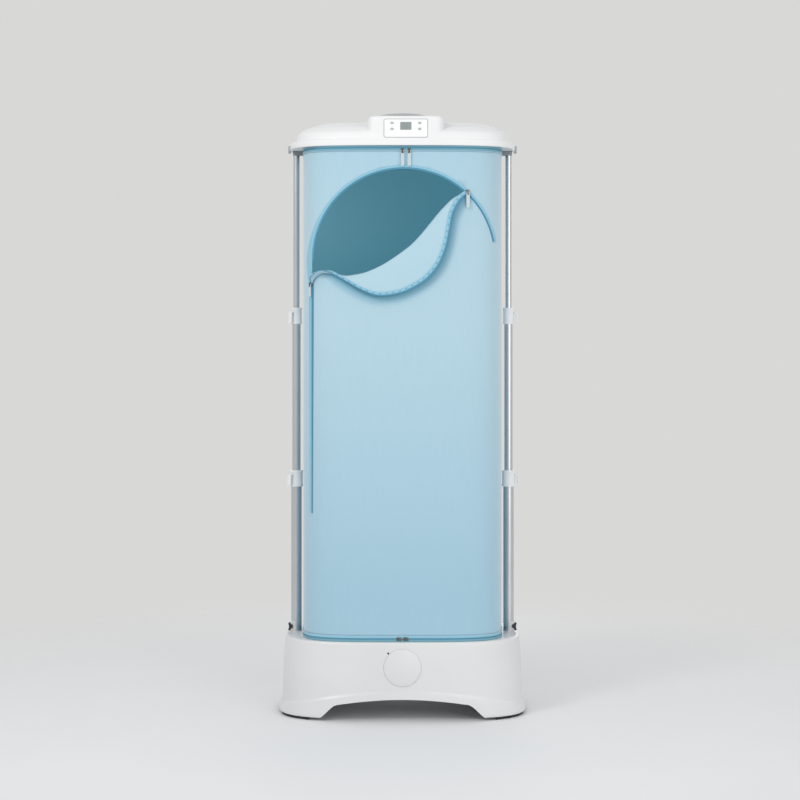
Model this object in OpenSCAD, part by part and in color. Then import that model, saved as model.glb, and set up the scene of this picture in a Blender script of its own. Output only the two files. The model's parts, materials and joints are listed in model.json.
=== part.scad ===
// Electric drying rack: a moulded base with a fan heater, a telescopic mast on each side,
// a moulded top with the controls and the hanging rail, and a fabric cover between them.
// The frame stands on z = 0, the front faces -Y, and x = 0 is midway between the masts.

/* [Overall] */
// Height of the top housing's underside with the masts fully out
top_z = 1545; // [1400:5:1650]
// How square the plan of the mouldings is: 2 is an ellipse
plan_power = 3.4; // [3.3:0.1:3.6]

/* [Base] */
// Width of the base at the floor
base_w = 683; // [670:1:700]
// How far each side leans in from the floor to the top edge
base_lean = 21; // [14:0.5:24]
// Depth of the base at the floor
base_d = 440; // [430:1:460]
// How far the front and the rear lean in
base_lean_d = 4; // [2:0.5:5]
// Height of the base above the floor
base_h = 212; // [200:1:230]
// Wall of the mouldings
wall = 3; // [2.5:0.5:4]
// Radius of the base's top edge
base_edge_r = 7; // [5:1:8]
// Height of the soft line around the skirt
crease_z = 75; // [74:1:82]
// How far the soft line drops towards the sides
crease_dip = 15; // [5:1:20]
// Height of the arch under the front and rear skirts
arch_h = 59; // [40:1:62]
// Sag of the arch between its middle and its shoulders
arch_sag = 14; // [6:1:18]
// Distance between the arch's shoulders
arch_shoulder_w = 340; // [300:2:380]
// Distance between the feet
arch_w = 480; // [440:2:500]
// Height of the rubber soles
foot_h = 8; // [6:1:12]
// Width of a sole's band
foot_band = 26; // [18:1:34]
// Underside height of the floor pan
pan_z = 70; // [68:1:72]
// Radius of the round boss on the front
badge_r = 50.5; // [40:0.5:53]
// Height of the round boss's centre
badge_z = 144; // [138:1:150]

/* [Air] */
// Radius of the fan
fan_r = 78; // [60:1:90]
// Number of fan blades
fan_blades = 7; // [5:1:9]
// Length of the warm air outlet
outlet_w = 300; // [240:5:340]
// Depth of the warm air outlet
outlet_d = 170; // [120:5:200]
// Number of slats in the outlet
outlet_slats = 18; // [10:1:24]

/* [Mast] */
// Distance from the base's side at the floor to each mast's middle
mast_inset = 46.5; // [44:0.5:50]
// Outer diameter of the lower tubes
lower_od = 29; // [27.5:0.5:31]
// Outer diameter of the middle tubes
middle_od = 23; // [21.5:0.5:24]
// Outer diameter of the upper tubes
upper_od = 17; // [15:0.5:18]
// Wall of the tubes
tube_wall = 1.2; // [1:0.1:1.4]
// Middle height of the lower clamps
lower_clamp_z = 636; // [600:1:660]
// Middle height of the upper clamps
upper_clamp_z = 1087; // [1040:1:1110]
// Height of a clamp
clamp_h = 45; // [40:1:52]
// Wall of a clamp outside its tube
clamp_wall = 3; // [2.5:0.5:4]
// Length of each tube held inside the next one
tube_overlap = 36; // [30:1:60]

/* [Lever] */
// Width of a clamp lever
lever_w = 13; // [11:1:16]
// Length of a clamp lever below its pin
lever_len = 30; // [26:1:34]
// Gap between the lever's plate and the clamp
lever_reach = 7; // [6:0.5:9]
// Thickness of the lever's plate
lever_t = 3; // [2.5:0.5:4]

/* [Top] */
// How far the rim stands out beyond each mast's middle
rim_out = 14.5; // [13.5:0.5:18]
// How far the rim's front stays behind the base's top edge
rim_setback = 2; // [0:0.5:6]
// Height of the rim band
rim_h = 15; // [12:1:18]
// Height of the dome above the rim
dome_h = 58.5; // [54:0.5:62]
// Sideways place of the control pod
pod_x = 9; // [0:1:14]
// Width of the control pod
pod_w = 206; // [190:2:220]
// Depth of the control pod
pod_d = 190; // [180:2:200]
// Height of the control pod above the rim
pod_h = 67; // [64:1:72]
// Radius of the vent on the top
vent_r = 71; // [60:1:76]

/* [Control panel] */
// Width of the control panel
panel_w = 116; // [108:1:124]
// Height of the control panel
panel_h = 48; // [46:1:52]
// Width of the display
display_w = 30; // [26:1:34]
// Height of the display
display_h = 21; // [18:1:23]
// Distance of each button column from the display's middle
button_x = 37; // [30:1:42]
// Distance between the two button rows
button_pitch = 16; // [13:1:18]
// Length of a button
button_w = 8; // [6:0.5:9]
// Height of a button
button_h = 4.6; // [4:0.2:6]
// How far a button stands out of the panel
button_out = 1.2; // [1:0.1:1.6]

/* [Cover] */
// Distance from each mast's middle to the cover
cover_inset = 22; // [22:1:30]
// How far the cover's front stays behind the base's top edge
cover_setback = 11; // [9:1:18]
// How square the cover's plan is
cover_power = 4.3; // [3.2:0.1:4.4]
// Thickness of the fabric
cloth_t = 1.6; // [1.2:0.1:2.4]
// Depth of the hanging folds
fold_depth = 3.5; // [0:0.5:5]
// Number of hanging folds round the cover
fold_count = 17; // [9:1:23]
// Height of the zip band at each end of the cover
band_h = 16; // [12:1:22]
// Thickness of the zip bands
band_t = 2.4; // [2:0.2:3.2]

/* [Door] */
// Distance from the cover's side to the door's round top
door_margin = 23; // [20:1:30]
// Sideways place of the door's middle
door_x = 4; // [-4:1:8]
// Distance from the cover's top end to the door's round top
door_headroom = 43.7; // [40:0.1:60]
// Lower end of the door's side zip
zip_end_z = 554; // [450:2:620]
// Width of the door's zip tape
tape_w = 7; // [5:0.5:9]
// How far the lower zip slider is below the middle of the door's round top
side_slider_drop = 64; // [30:1:140]
// Place of the upper zip slider round the arch, in degrees above the horizontal
arch_slider_angle = 47; // [30:1:60]
// How far the turned-out flap hangs below its fold
flap_drop = 96; // [60:2:110]

/* [Rail] */
// Diameter of the hanging rail
rail_od = 18; // [14:1:22]
// Distance from the top housing's underside to the rail's middle
rail_drop = 42; // [34:1:60]
// Length of the hanging rail
rail_len = 440; // [380:5:460]

/* [Hidden] */
// Clearances: a fixed seat, a moving neighbour, a running pin and a soft solid
seat_gap = 0.3;
move_gap = 0.4;
pin_gap = 0.05;
soft_gap = 0.3;
// Points round a lofted outline
plan_n = 48;
$fn = 64;
// Overshoot of a cutting solid
eps = 0.5;
// Half sizes of the base
base_a = base_w / 2;
base_b = base_d / 2;
base_top_a = base_a - base_lean;
base_top_b = base_b - base_lean_d;
mast_x = base_a - mast_inset;
// Heights of the skirt's other levels, and how much each draws in
toe_h = 6;
toe_round = 1.5;
knee_z = 50;
crease_half = 4;
crease_lip = 3.5;
waist_z = 125;
chest_z = 175;
edge_share = 0.3;
lean_power = 0.8;
// Inside of the skirt: its draft, and the corner under the ceiling
skirt_draft = 2.5;
ceiling_corner = 6;
ceiling_drop = 8;
bow_steps = 8;
turn_steps = 7;
pan_t = 3;
pan_margin = 4.5;
pan_top = pan_z + pan_t;
base_ceiling = base_h - wall;
// Soles
foot_inset = 5;
foot_x = arch_w / 2 + 12;
foot_y = 95;
// Screw posts between the floor pan and the base's ceiling
post_r = 6;
post_x = 200;
post_y = 120;
screw_r = 2.2;
// Round boss: its seat, its body and its raised face
badge_t = 5.2;
badge_face_t = 0.8;
badge_step = 2.2;
badge_sink = 4;
// Fan, heater and outlet
duct_r = fan_r + 4;
duct_wall = 2.4;
duct_h = 76;
duct_top = pan_top + duct_h;
duct_flange = 12;
flange_t = 3;
motor_r = 30;
motor_h = 34;
motor_nose_r = 12;
motor_nose_h = 6;
motor_foot = 6;
motor_bore_z = 8;
shaft_r = 3;
hub_r = 22;
hub_h = 22;
fan_z = pan_top + motor_h + motor_nose_h;
blade_t = 2;
blade_pitch = 32;
blade_chord = 34;
blade_root = 2;
heater_w = 2 * (duct_r + 4);
heater_h = 30;
heater_frame = 6;
heater_fins = 16;
heater_fin_t = 1.2;
heater_fin_h = 24;
heater_bar_w = 7;
heater_bar_h = 18;
outlet_frame = 8;
outlet_ledge = 2;
outlet_t = 4;
slat_t = 2.4;
outlet_r = 24;
intake_slot = 7;
intake_pitch = 14;
intake_rim = 4;
// Power inlet in the rear wall
inlet_x = 150;
inlet_z = 120;
inlet_w = 28;
inlet_h = 22;
inlet_depth = 18;
inlet_proud = 2;
inlet_r = 3;
inlet_wall = 2.5;
inlet_floor = 3;
inlet_pin_r = 1.2;
inlet_pin_x = 7;
// Indicator lamp
lamp_x = -38;
lamp_z = 183;
lamp_r = 2.5;
lamp_t = 6.2;
// Sockets that hold the lower tubes
socket_wall = 2;
socket_proud = 1;
saddle_h = 28;
saddle_half_angle = 40;
// Wing bolts at the base and thumb knobs at the top
bolt_r = 3;
bolt_angle = 45;
base_bolt_z = base_h + 14;
wing_hub_r = 5.5;
wing_hub_h = 6;
wing_len = 12;
wing_w = 7;
wing_t = 2.4;
wing_lean = 28;
wing_root = 2;
knob_r = 10.5;
knob_h = 7;
knob_flutes = 12;
flute_r = 1.8;
knob_recess = 2;
knob_rim = 4;
// Tube ends
lower_tube_bottom = pan_top;
lower_tube_top = lower_clamp_z;
middle_tube_bottom = lower_tube_top - tube_overlap;
middle_tube_top = upper_clamp_z;
upper_tube_bottom = middle_tube_top - tube_overlap;
socket_step = 6;
upper_tube_top = top_z + rim_h - socket_step;
guide_h = 18;
guide_bite = 0.2;
// Clamp fittings
clamp_ring_h = 5;
clamp_ring_t = 1;
lug_w = 5.6;
lug_r = lever_reach / 2 - move_gap;
lever_pin_r = 1.6;
pin_drop = 13;
lever_heel = 1;
lever_lip_h = 6;
lever_lip_out = 1.5;
// Direction in which each clamp's lever points, in degrees from +X
left_lever_dir = 225;
right_lever_dir = 0;
// Top housing
rim_a = mast_x + rim_out;
rim_b = base_top_b - rim_setback;
rim_round = 2;
// Dome: how far in from the rim at the sides and at the front, and the share of its height
dome_profile = [[14, 3, 0.02], [16.5, 6.5, 0.2], [19, 13, 0.36], [23.5, 22, 0.45],
    [36.5, 44, 0.63], [61, 81.5, 0.81], [75.5, 107, 0.91], [97.5, 134, 0.98], [127.5, 162.5, 1]];
rim_top = top_z + rim_h;
dome_top = rim_top + dome_h;
pod_power = 6;
pod_a = pod_w / 2;
pod_b = pod_d / 2;
pod_top = rim_top + pod_h;
pod_setback = 5;
pod_front = rim_b - pod_setback;
// Pod's top edge: how far below its top, and how far in
pod_round = [[22, 0], [11, 2], [4, 6], [0, 13]];
pod_y = pod_b - pod_front;
lid_t = 3;
rim_wall = wall + 2;
lid_a = rim_a - rim_wall - seat_gap;
lid_b = rim_b - rim_wall - seat_gap;
top_socket_wall = 4.5;
top_socket_h = 12;
top_socket_block = 19;
top_bolt_z = top_z + 4;
vent_y = -36;
vent_slats = 9;
vent_collar = 10;
vent_wall = 2.4;
vent_seat_drop = 14;
vent_step = 2;
vent_slat_h = 7;
vent_slat_w = 6;
vent_gap = 6;
vent_crown = 10;
vent_edge = 1.5;
lid_slot = 7;
lid_slot_pitch = 14;
lid_slot_margin = 8;
// Control panel
panel_z = rim_top + pod_setback + panel_h / 2;
panel_ledge = 6;
panel_proud = 1;
panel_t = 3;
panel_r = 4;
panel_front = pod_front + panel_proud;
display_up = 6;
display_z = panel_z + display_up;
display_t = 1.5;
display_sunk = 0.2;
button_travel = 1;
button_len = 5;
button_round = 0.495;
board_t = 1.6;
board_margin = 8;
board_post_r = 2.5;
board_post_x = 12;
board_post_z = 11;
// Cover and bands
cover_a = mast_x - cover_inset;
cover_b = base_top_b - cover_setback;
cover_bottom = base_h + band_h + soft_gap;
cover_top = top_z - band_h - soft_gap;
cover_rings = 9;
cover_n = 106;
door_r = cover_a - door_margin;
door_z = cover_top - door_headroom - door_r;
// Zip sliders and their pulls
slider_w = 9;
slider_h = 14;
slider_t = 5;
slider_r = 2.5;
slider_plate_t = 3;
bridge_w = 5;
bridge_h = 6;
bridge_t = 4;
bridge_proud = 1;
pull_w = 9;
pull_t = 1.8;
pull_r = 2.4;
pull_pin_r = 1.1;
pull_pin_y = 4.5;
pull_pin_len = 8;
pull_arm_w = 1.6;
pull_arm_x = 2.8;
pull_drop = 8;
short_pull = 26;
long_pull = 34;
slider_pitch = 18;
tape_t = 1.2;
tape_steps = 36;
tape_edge = 1;
arch_tape_start = 12;
side_tape_gap = 4;
flap_steps = 24;
fold_belly = 62;
fold_spread = 0.8;
fold_wander = 40;
flap_gap = 0.3;
flap_swell = 7.5;
flap_start = 0.04;
flap_span = 0.91;
flap_lean = 10;
flap_crease = 3;
door_steps = 24;
// Rail's fittings
rail_wall = 1.2;
rail_cap_t = 5;
rail_cap_out = 1.5;
hanger_inset = 26;
hanger_w = 12;
hanger_ring = 3;
hanger_web = 10;
hanger_foot = 48;
hanger_foot_t = 3;

// Distance from the centre to a superellipse in the direction of an angle
function plan_radius(a, b, power, angle) =
    pow(pow(abs(cos(angle)) / a, power) + pow(abs(sin(angle)) / b, power), -1 / power);

// Depth of a superellipse at a given x
function plan_depth(a, b, power, x) = b * pow(max(0, 1 - pow(abs(x) / a, power)), 1 / power);

// Plan outline of a superellipse, with the points spread evenly
function plan_outline(a, b, power, n) = [
    for (i = [0:n - 1])
        let (t = 360 * (i + 0.5) / n, angle = atan2(b * sin(t), a * cos(t)),
            r = plan_radius(a, b, power, angle))
            [r * cos(angle), r * sin(angle)]
];

// One level of a loft: an outline at height z, whose sides drop by dip
function level(a, b, power, z, dip = 0, centre = [0, 0]) = [
    for (p = plan_outline(a, b, power, plan_n))
        [p[0] + centre[0], p[1] + centre[1], z - dip * pow(p[0] / a, 2)]
];

// Closed solid through a list of levels with the same number of points
module loft(levels) {
    n = len(levels[0]);
    last = len(levels) - 1;
    polyhedron(
        points = [for (ring = levels) each ring],
        faces = concat(
            [[for (i = [0:n - 1]) i]],
            [for (k = [0:last - 1], i = [0:n - 1])
                [k * n + i, (k + 1) * n + i, (k + 1) * n + (i + 1) % n, k * n + (i + 1) % n]],
            [[for (i = [n - 1:-1:0]) last * n + i]]
        )
    );
}

// Upright ring between two radii
module pipe(r_out, r_in, h) {
    difference() {
        cylinder(r = r_out, h = h);
        translate([0, 0, -eps])
            cylinder(r = r_in, h = h + 2 * eps);
    }
}

// Rectangle with round corners, centred
module round_rect(w, h, r) {
    union() {
        square([w - 2 * r, h], center = true);
        square([w, h - 2 * r], center = true);
        for (x = [-1, 1], y = [-1, 1])
            translate([x * (w / 2 - r), y * (h / 2 - r)])
                circle(r = r);
    }
}

// Flat shape drawn in x and z, standing upright from y = 0 towards the front
module facing_front(depth) {
    rotate([90, 0, 0])
        linear_extrude(height = depth)
            children();
}

// Half width and half depth of the base's outside at height z
function base_half_w(z) = base_top_a + base_lean * pow(1 - z / base_h, lean_power);
function base_half_d(z) = base_top_b + base_lean_d * pow(1 - z / base_h, lean_power);

// One level of the base's outside at height z, drawn in by a margin
function skirt_level(z, margin = 0, dip = 0, drop = 0) =
    level(base_half_w(z) - margin, base_half_d(z) - margin, plan_power, z + drop, dip);

module base_outside() {
    edge_in = base_edge_r * edge_share;
    loft([
        skirt_level(foot_h, toe_round),
        skirt_level(foot_h + toe_h),
        skirt_level(knee_z, 0, crease_dip / 2),
        skirt_level(crease_z, 0, crease_dip, -crease_half),
        skirt_level(crease_z, crease_lip, crease_dip, crease_half),
        skirt_level(waist_z, crease_lip / 2),
        skirt_level(chest_z),
        level(base_top_a, base_top_b, plan_power, base_h - base_edge_r),
        level(base_top_a - edge_in, base_top_b - edge_in, plan_power, base_h - edge_in),
        level(base_top_a - base_edge_r, base_top_b - base_edge_r, plan_power, base_h)
    ]);
}

module base_inside() {
    inset = wall + skirt_draft;
    corner = inset + ceiling_corner;
    loft([
        skirt_level(foot_h, inset, 0, -eps),
        skirt_level(crease_z, inset),
        level(base_top_a - inset, base_top_b - inset, plan_power, base_ceiling - ceiling_drop),
        level(base_top_a - corner, base_top_b - corner, plan_power, base_ceiling)
    ]);
}

// Outline of the opening under the skirt: a shallow bow that turns down to the feet
module arch_outline() {
    half = arch_w / 2;
    shoulder = arch_shoulder_w / 2;
    shoulder_z = arch_h - arch_sag;
    bow = [for (i = [-bow_steps:bow_steps]) let (u = i / bow_steps)
        [u * shoulder, arch_h - arch_sag * u * u]];
    turn = [for (i = [1:turn_steps]) let (u = i / turn_steps)
        [shoulder + (half - shoulder) * u, (shoulder_z + eps) * (1 + cos(180 * u)) / 2 - eps]];
    polygon(concat(
        [for (i = [turn_steps - 1:-1:0]) [-turn[i][0], turn[i][1]]],
        bow,
        turn
    ));
}

module arch_cut() {
    translate([0, base_b + eps, 0])
        facing_front(base_d + 2 * eps)
            arch_outline();
}

module outlet_opening(margin, h) {
    linear_extrude(height = h)
        round_rect(outlet_w + 2 * margin, outlet_d + 2 * margin, outlet_r + margin);
}

// Rear face of the base where the power inlet is
inlet_face = plan_depth(base_half_w(inlet_z), base_half_d(inlet_z), plan_power, inlet_x);

module base_shell() {
    color([0.87, 0.87, 0.87])
        difference() {
            union() {
                difference() {
                    base_outside();
                    base_inside();
                }
                for (x = [-1, 1], y = [-1, 1])
                    translate([x * post_x, y * post_y, pan_top])
                        cylinder(r = post_r, h = base_ceiling - pan_top + wall / 2);
            }
            arch_cut();
            translate([0, 0, base_ceiling - eps])
                outlet_opening(0, wall + 2 * eps);
            translate([0, 0, base_h - outlet_t / 2])
                outlet_opening(outlet_frame + seat_gap, outlet_t);
            for (side = [-1, 1])
                translate([side * mast_x, 0, base_ceiling - 2 * ceiling_drop])
                    cylinder(r = lower_od / 2 + socket_wall + seat_gap, h = base_h);
            translate([0, -base_top_b + 2 * wall, badge_z])
                rotate([90, 0, 0])
                    cylinder(r = badge_r + seat_gap, h = base_b);
            translate([lamp_x, -base_top_b + 3 * wall, lamp_z])
                rotate([90, 0, 0])
                    cylinder(r = lamp_r + seat_gap, h = base_b);
            translate([inlet_x, inlet_face + inlet_depth, inlet_z])
                facing_front(2 * inlet_depth + eps)
                    round_rect(inlet_w + 2 * seat_gap, inlet_h + 2 * seat_gap, inlet_r);
        }
}

module base_pan() {
    pan_a = base_half_w(crease_z) - wall - pan_margin;
    pan_b = base_half_d(crease_z) - wall - pan_margin;
    slots = floor(fan_r / intake_pitch);
    color([0.75, 0.76, 0.77])
        translate([0, 0, pan_z])
            difference() {
                linear_extrude(height = pan_t)
                    polygon(plan_outline(pan_a, pan_b, plan_power, plan_n));
                for (i = [-slots:slots])
                    translate([i * intake_pitch, 0, -eps])
                        linear_extrude(height = pan_t + 2 * eps)
                            intake_slot_shape(i);
                for (x = [-1, 1], y = [-1, 1])
                    translate([x * post_x, y * post_y, -eps])
                        cylinder(r = screw_r, h = pan_t + 2 * eps);
            }
}

// One slot of the round intake, split by the motor's seat in the middle
module intake_slot_shape(i) {
    x = i * intake_pitch;
    clear_r = motor_r + 2 * intake_rim;
    reach = sqrt(max(1, pow(fan_r - intake_rim, 2) - x * x));
    seat = abs(x) < clear_r ? max(intake_rim, sqrt(pow(clear_r, 2) - x * x)) : intake_rim;
    for (y = [-1, 1])
        translate([0, y * (reach + seat) / 2])
            square([intake_slot, reach - seat], center = true);
}

// Four soles that follow the corners of the skirt
module feet() {
    a = base_half_w(foot_h) - foot_inset;
    b = base_half_d(foot_h) - foot_inset;
    color([0.13, 0.13, 0.14])
        for (x = [-1, 1], y = [-1, 1])
            linear_extrude(height = foot_h)
                intersection() {
                    difference() {
                        polygon(plan_outline(a, b, plan_power, plan_n));
                        polygon(plan_outline(a - foot_band, b - foot_band, plan_power, plan_n));
                    }
                    translate([x > 0 ? foot_x : -foot_x - base_a, y > 0 ? foot_y : -foot_y - base_b])
                        square([base_a, base_b]);
                }
}

module badge() {
    color([0.9, 0.9, 0.9])
        translate([0, -base_top_b + badge_sink, badge_z])
            rotate([90, 0, 0])
                union() {
                    cylinder(r = badge_r, h = badge_t);
                    translate([0, 0, badge_t])
                        cylinder(r = badge_r - badge_step, h = badge_face_t);
                }
}

module indicator() {
    color([0.2, 0.22, 0.24])
        translate([lamp_x, -base_top_b + lamp_t, lamp_z])
            rotate([90, 0, 0])
                cylinder(r = lamp_r, h = lamp_t);
}

module outlet_grille() {
    pitch = outlet_w / outlet_slats;
    color([0.8, 0.81, 0.82])
        translate([0, 0, base_h - outlet_t / 2])
            union() {
                difference() {
                    outlet_opening(outlet_frame, outlet_t / 2);
                    translate([0, 0, -eps])
                        outlet_opening(-outlet_ledge, outlet_t);
                }
                intersection() {
                    outlet_opening(0, outlet_t / 2);
                    for (i = [1:outlet_slats - 1])
                        translate([i * pitch - outlet_w / 2, 0, outlet_t / 4])
                            cube([slat_t, outlet_d, outlet_t / 2], center = true);
                }
            }
}

module heater() {
    inner = heater_w - 2 * heater_frame;
    pitch = inner / heater_fins;
    color([0.7, 0.7, 0.72])
        translate([0, 0, duct_top])
            union() {
                linear_extrude(height = heater_h)
                    difference() {
                        square([heater_w, heater_w], center = true);
                        square([inner, inner], center = true);
                    }
                for (i = [1:heater_fins - 1])
                    translate([i * pitch - inner / 2, 0, heater_h / 2])
                        cube([heater_fin_t, inner + 2 * eps, heater_fin_h], center = true);
                for (y = [-1, 0, 1])
                    translate([0, y * inner / 3, heater_h / 2])
                        cube([inner + 2 * eps, heater_bar_w, heater_bar_h], center = true);
            }
}

module fan_housing() {
    color([0.3, 0.31, 0.33])
        translate([0, 0, pan_top])
            difference() {
                union() {
                    cylinder(r = duct_r + duct_wall, h = duct_h);
                    cylinder(r = duct_r + duct_flange, h = flange_t);
                    translate([0, 0, duct_h - flange_t])
                        cylinder(r = duct_r + duct_flange, h = flange_t);
                }
                translate([0, 0, -eps])
                    cylinder(r = duct_r, h = duct_h + 2 * eps);
            }
}

module fan_motor() {
    color([0.55, 0.56, 0.58])
        translate([0, 0, pan_top])
            difference() {
                union() {
                    cylinder(r = motor_r, h = motor_h - motor_nose_h);
                    cylinder(r = motor_nose_r, h = motor_h);
                    cylinder(r = motor_r + motor_foot, h = flange_t);
                }
                translate([0, 0, motor_bore_z])
                    cylinder(r = shaft_r + pin_gap, h = motor_h);
            }
}

// Axial fan: blades set at a pitch round a hub, with the shaft that runs in the motor
module fan_impeller() {
    color([0.2, 0.2, 0.22])
        translate([0, 0, fan_z])
            union() {
                cylinder(r = hub_r, h = hub_h);
                translate([0, 0, motor_nose_h - motor_h])
                    cylinder(r = shaft_r, h = motor_h);
                intersection() {
                    cylinder(r = fan_r, h = hub_h);
                    for (i = [0:fan_blades - 1])
                        rotate([0, 0, i * 360 / fan_blades])
                            translate([hub_r - blade_root, 0, hub_h / 2])
                                rotate([blade_pitch, 0, 0])
                                    translate([0, -blade_chord / 2, -blade_t / 2])
                                        cube([fan_r, blade_chord, blade_t]);
                }
            }
}

module power_inlet() {
    color([0.12, 0.12, 0.13])
        translate([inlet_x, inlet_face - inlet_depth, inlet_z])
            rotate([-90, 0, 0])
                union() {
                    difference() {
                        linear_extrude(height = inlet_depth + inlet_proud)
                            round_rect(inlet_w, inlet_h, inlet_r);
                        translate([0, 0, inlet_floor])
                            linear_extrude(height = inlet_depth)
                                round_rect(inlet_w - 2 * inlet_wall, inlet_h - 2 * inlet_wall,
                                    inlet_r / 2);
                    }
                    for (x = [-inlet_pin_x, inlet_pin_x])
                        translate([x, 0, 0])
                            cylinder(r = inlet_pin_r, h = inlet_depth - inlet_floor);
                }
}

// Sleeve under the base's top, and a saddle that the wing bolt passes through
module base_sockets() {
    r_in = lower_od / 2 + pin_gap;
    r_out = r_in + socket_wall;
    color([0.82, 0.82, 0.82])
        for (side = [-1, 1])
            translate([side * mast_x, 0, pan_top])
                rotate([0, 0, side > 0 ? -bolt_angle : 180 + bolt_angle])
                    difference() {
                        union() {
                            pipe(r_out, r_in, base_h - pan_top + socket_proud);
                            intersection() {
                                pipe(r_out, r_in, base_h - pan_top + saddle_h);
                                rotate([0, 0, -saddle_half_angle])
                                    sector(2 * r_out, 2 * saddle_half_angle,
                                        base_h - pan_top + saddle_h);
                            }
                        }
                        translate([0, 0, base_bolt_z - pan_top])
                            rotate([0, 90, 0])
                                cylinder(r = bolt_r + pin_gap, h = 2 * r_out);
                    }
}

// Wedge from +X through an angle below 180
module sector(r, angle, h) {
    linear_extrude(height = h)
        polygon([
            [0, 0],
            [r, 0],
            [r, r * tan(angle / 2)],
            [r * cos(angle), r * sin(angle)]
        ]);
}

// Wing bolt along +X: a shank, a hub and two wings that lean outwards
module wing_bolt(shank) {
    union() {
        rotate([0, 90, 0])
            cylinder(r = bolt_r, h = shank + eps);
        translate([shank, 0, 0])
            rotate([0, 90, 0])
                cylinder(r = wing_hub_r, h = wing_hub_h);
        for (side = [-1, 1])
            translate([shank + wing_root / 2, 0, side * wing_root])
                rotate([0, side * wing_lean, 0])
                    translate([0, -wing_t / 2, side > 0 ? 0 : -wing_len])
                        wing(side);
    }
}

// One wing: a flat plate with a round end
module wing(side) {
    tip = side > 0 ? wing_len - wing_w / 2 : wing_w / 2;
    translate([0, wing_t, 0])
        rotate([90, 0, 0])
            linear_extrude(height = wing_t)
                union() {
                    translate([0, side > 0 ? 0 : wing_w / 2])
                        square([wing_w, wing_len - wing_w / 2]);
                    translate([wing_w / 2, tip])
                        circle(r = wing_w / 2);
                }
}

module base_bolt(side) {
    color([0.62, 0.63, 0.65])
        translate([side * mast_x, 0, base_bolt_z])
            rotate([0, 0, side > 0 ? -bolt_angle : 180 + bolt_angle])
                translate([lower_od / 2 + move_gap, 0, 0])
                    wing_bolt(socket_wall + 2 * move_gap);
}

module left_base_bolt() {
    base_bolt(-1);
}

module right_base_bolt() {
    base_bolt(1);
}

module tube(side, od, bottom, top) {
    color([0.78, 0.79, 0.8])
        translate([side * mast_x, 0, bottom])
            pipe(od / 2, od / 2 - tube_wall, top - bottom);
}

// Tube with the guide ring that runs inside the next larger tube
module guided_tube(side, od, outer_od, bottom, top) {
    guide_r = outer_od / 2 - tube_wall - move_gap;
    color([0.8, 0.81, 0.82])
        translate([side * mast_x, 0, bottom])
            union() {
                pipe(od / 2, od / 2 - tube_wall, top - bottom);
                pipe(guide_r, od / 2 - guide_bite, guide_h);
            }
}

module left_lower_tube() {
    tube(-1, lower_od, lower_tube_bottom, lower_tube_top);
}

module right_lower_tube() {
    tube(1, lower_od, lower_tube_bottom, lower_tube_top);
}

module left_middle_tube() {
    guided_tube(-1, middle_od, lower_od, middle_tube_bottom, middle_tube_top);
}

module right_middle_tube() {
    guided_tube(1, middle_od, lower_od, middle_tube_bottom, middle_tube_top);
}

module left_upper_tube() {
    guided_tube(-1, upper_od, middle_od, upper_tube_bottom, upper_tube_top);
}

module right_upper_tube() {
    guided_tube(1, upper_od, middle_od, upper_tube_bottom, upper_tube_top);
}

// Clamp on a tube's top end, with a stop for that tube and a lug for the lever at +X
module clamp(tube_od, inner_od) {
    r_out = tube_od / 2 + clamp_wall;
    lug_x = r_out + lever_reach / 2;
    pin_z = clamp_h - pin_drop;
    difference() {
        union() {
            cylinder(r = r_out, h = clamp_h);
            for (z = [0, clamp_h - clamp_ring_h])
                translate([0, 0, z])
                    cylinder(r = r_out + clamp_ring_t, h = clamp_ring_h);
            translate([lug_x, lug_w / 2, pin_z])
                rotate([90, 0, 0])
                    cylinder(r = lug_r, h = lug_w);
            translate([r_out - clamp_wall / 2, -lug_w / 2, pin_z - lug_r])
                cube([lug_x - r_out + clamp_wall / 2, lug_w, 2 * lug_r]);
        }
        translate([0, 0, -eps])
            cylinder(r = tube_od / 2 + pin_gap, h = clamp_h / 2 + eps);
        cylinder(r = inner_od / 2 + move_gap, h = clamp_h + eps);
        translate([lug_x, lug_w, pin_z])
            rotate([90, 0, 0])
                cylinder(r = lever_pin_r + pin_gap, h = 2 * lug_w);
    }
}

// Lever of a clamp, closed, with the plate outwards at +X
module lever(tube_od) {
    r_out = tube_od / 2 + clamp_wall;
    lug_x = r_out + lever_reach / 2;
    pin_z = clamp_h - pin_drop;
    plate_x = r_out + lever_reach;
    cheek_w = (lever_w - lug_w) / 2 - move_gap;
    union() {
        translate([lug_x, lever_w / 2, pin_z])
            rotate([90, 0, 0])
                cylinder(r = lever_pin_r, h = lever_w);
        for (y = [-lever_w / 2, lever_w / 2 - cheek_w])
            translate([0, y + cheek_w, 0])
                rotate([90, 0, 0])
                    linear_extrude(height = cheek_w)
                        union() {
                            translate([lug_x, pin_z])
                                circle(r = lug_r - move_gap);
                            translate([lug_x, pin_z - lug_r])
                                square([plate_x - lug_x + eps, lug_r + lever_heel]);
                        }
        translate([0, lever_w / 2, 0])
            rotate([90, 0, 0])
                linear_extrude(height = lever_w)
                    lever_profile(plate_x, pin_z);
    }
}

// Side view of the lever's plate, with a lip that the finger lifts
module lever_profile(plate_x, pin_z) {
    foot = pin_z - lever_len;
    union() {
        translate([plate_x, foot + lever_lip_h])
            square([lever_t, pin_z + lever_heel - foot - lever_lip_h]);
        polygon([
            [plate_x, foot + lever_lip_h],
            [plate_x + lever_lip_out, foot],
            [plate_x + lever_lip_out + lever_t, foot],
            [plate_x + lever_t, foot + lever_lip_h]
        ]);
    }
}

module place_clamp(side, z) {
    translate([side * mast_x, 0, z - clamp_h / 2])
        rotate([0, 0, side > 0 ? right_lever_dir : left_lever_dir])
            children();
}

module left_lower_clamp() {
    color([0.93, 0.93, 0.93])
        place_clamp(-1, lower_clamp_z)
            clamp(lower_od, middle_od);
}

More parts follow.
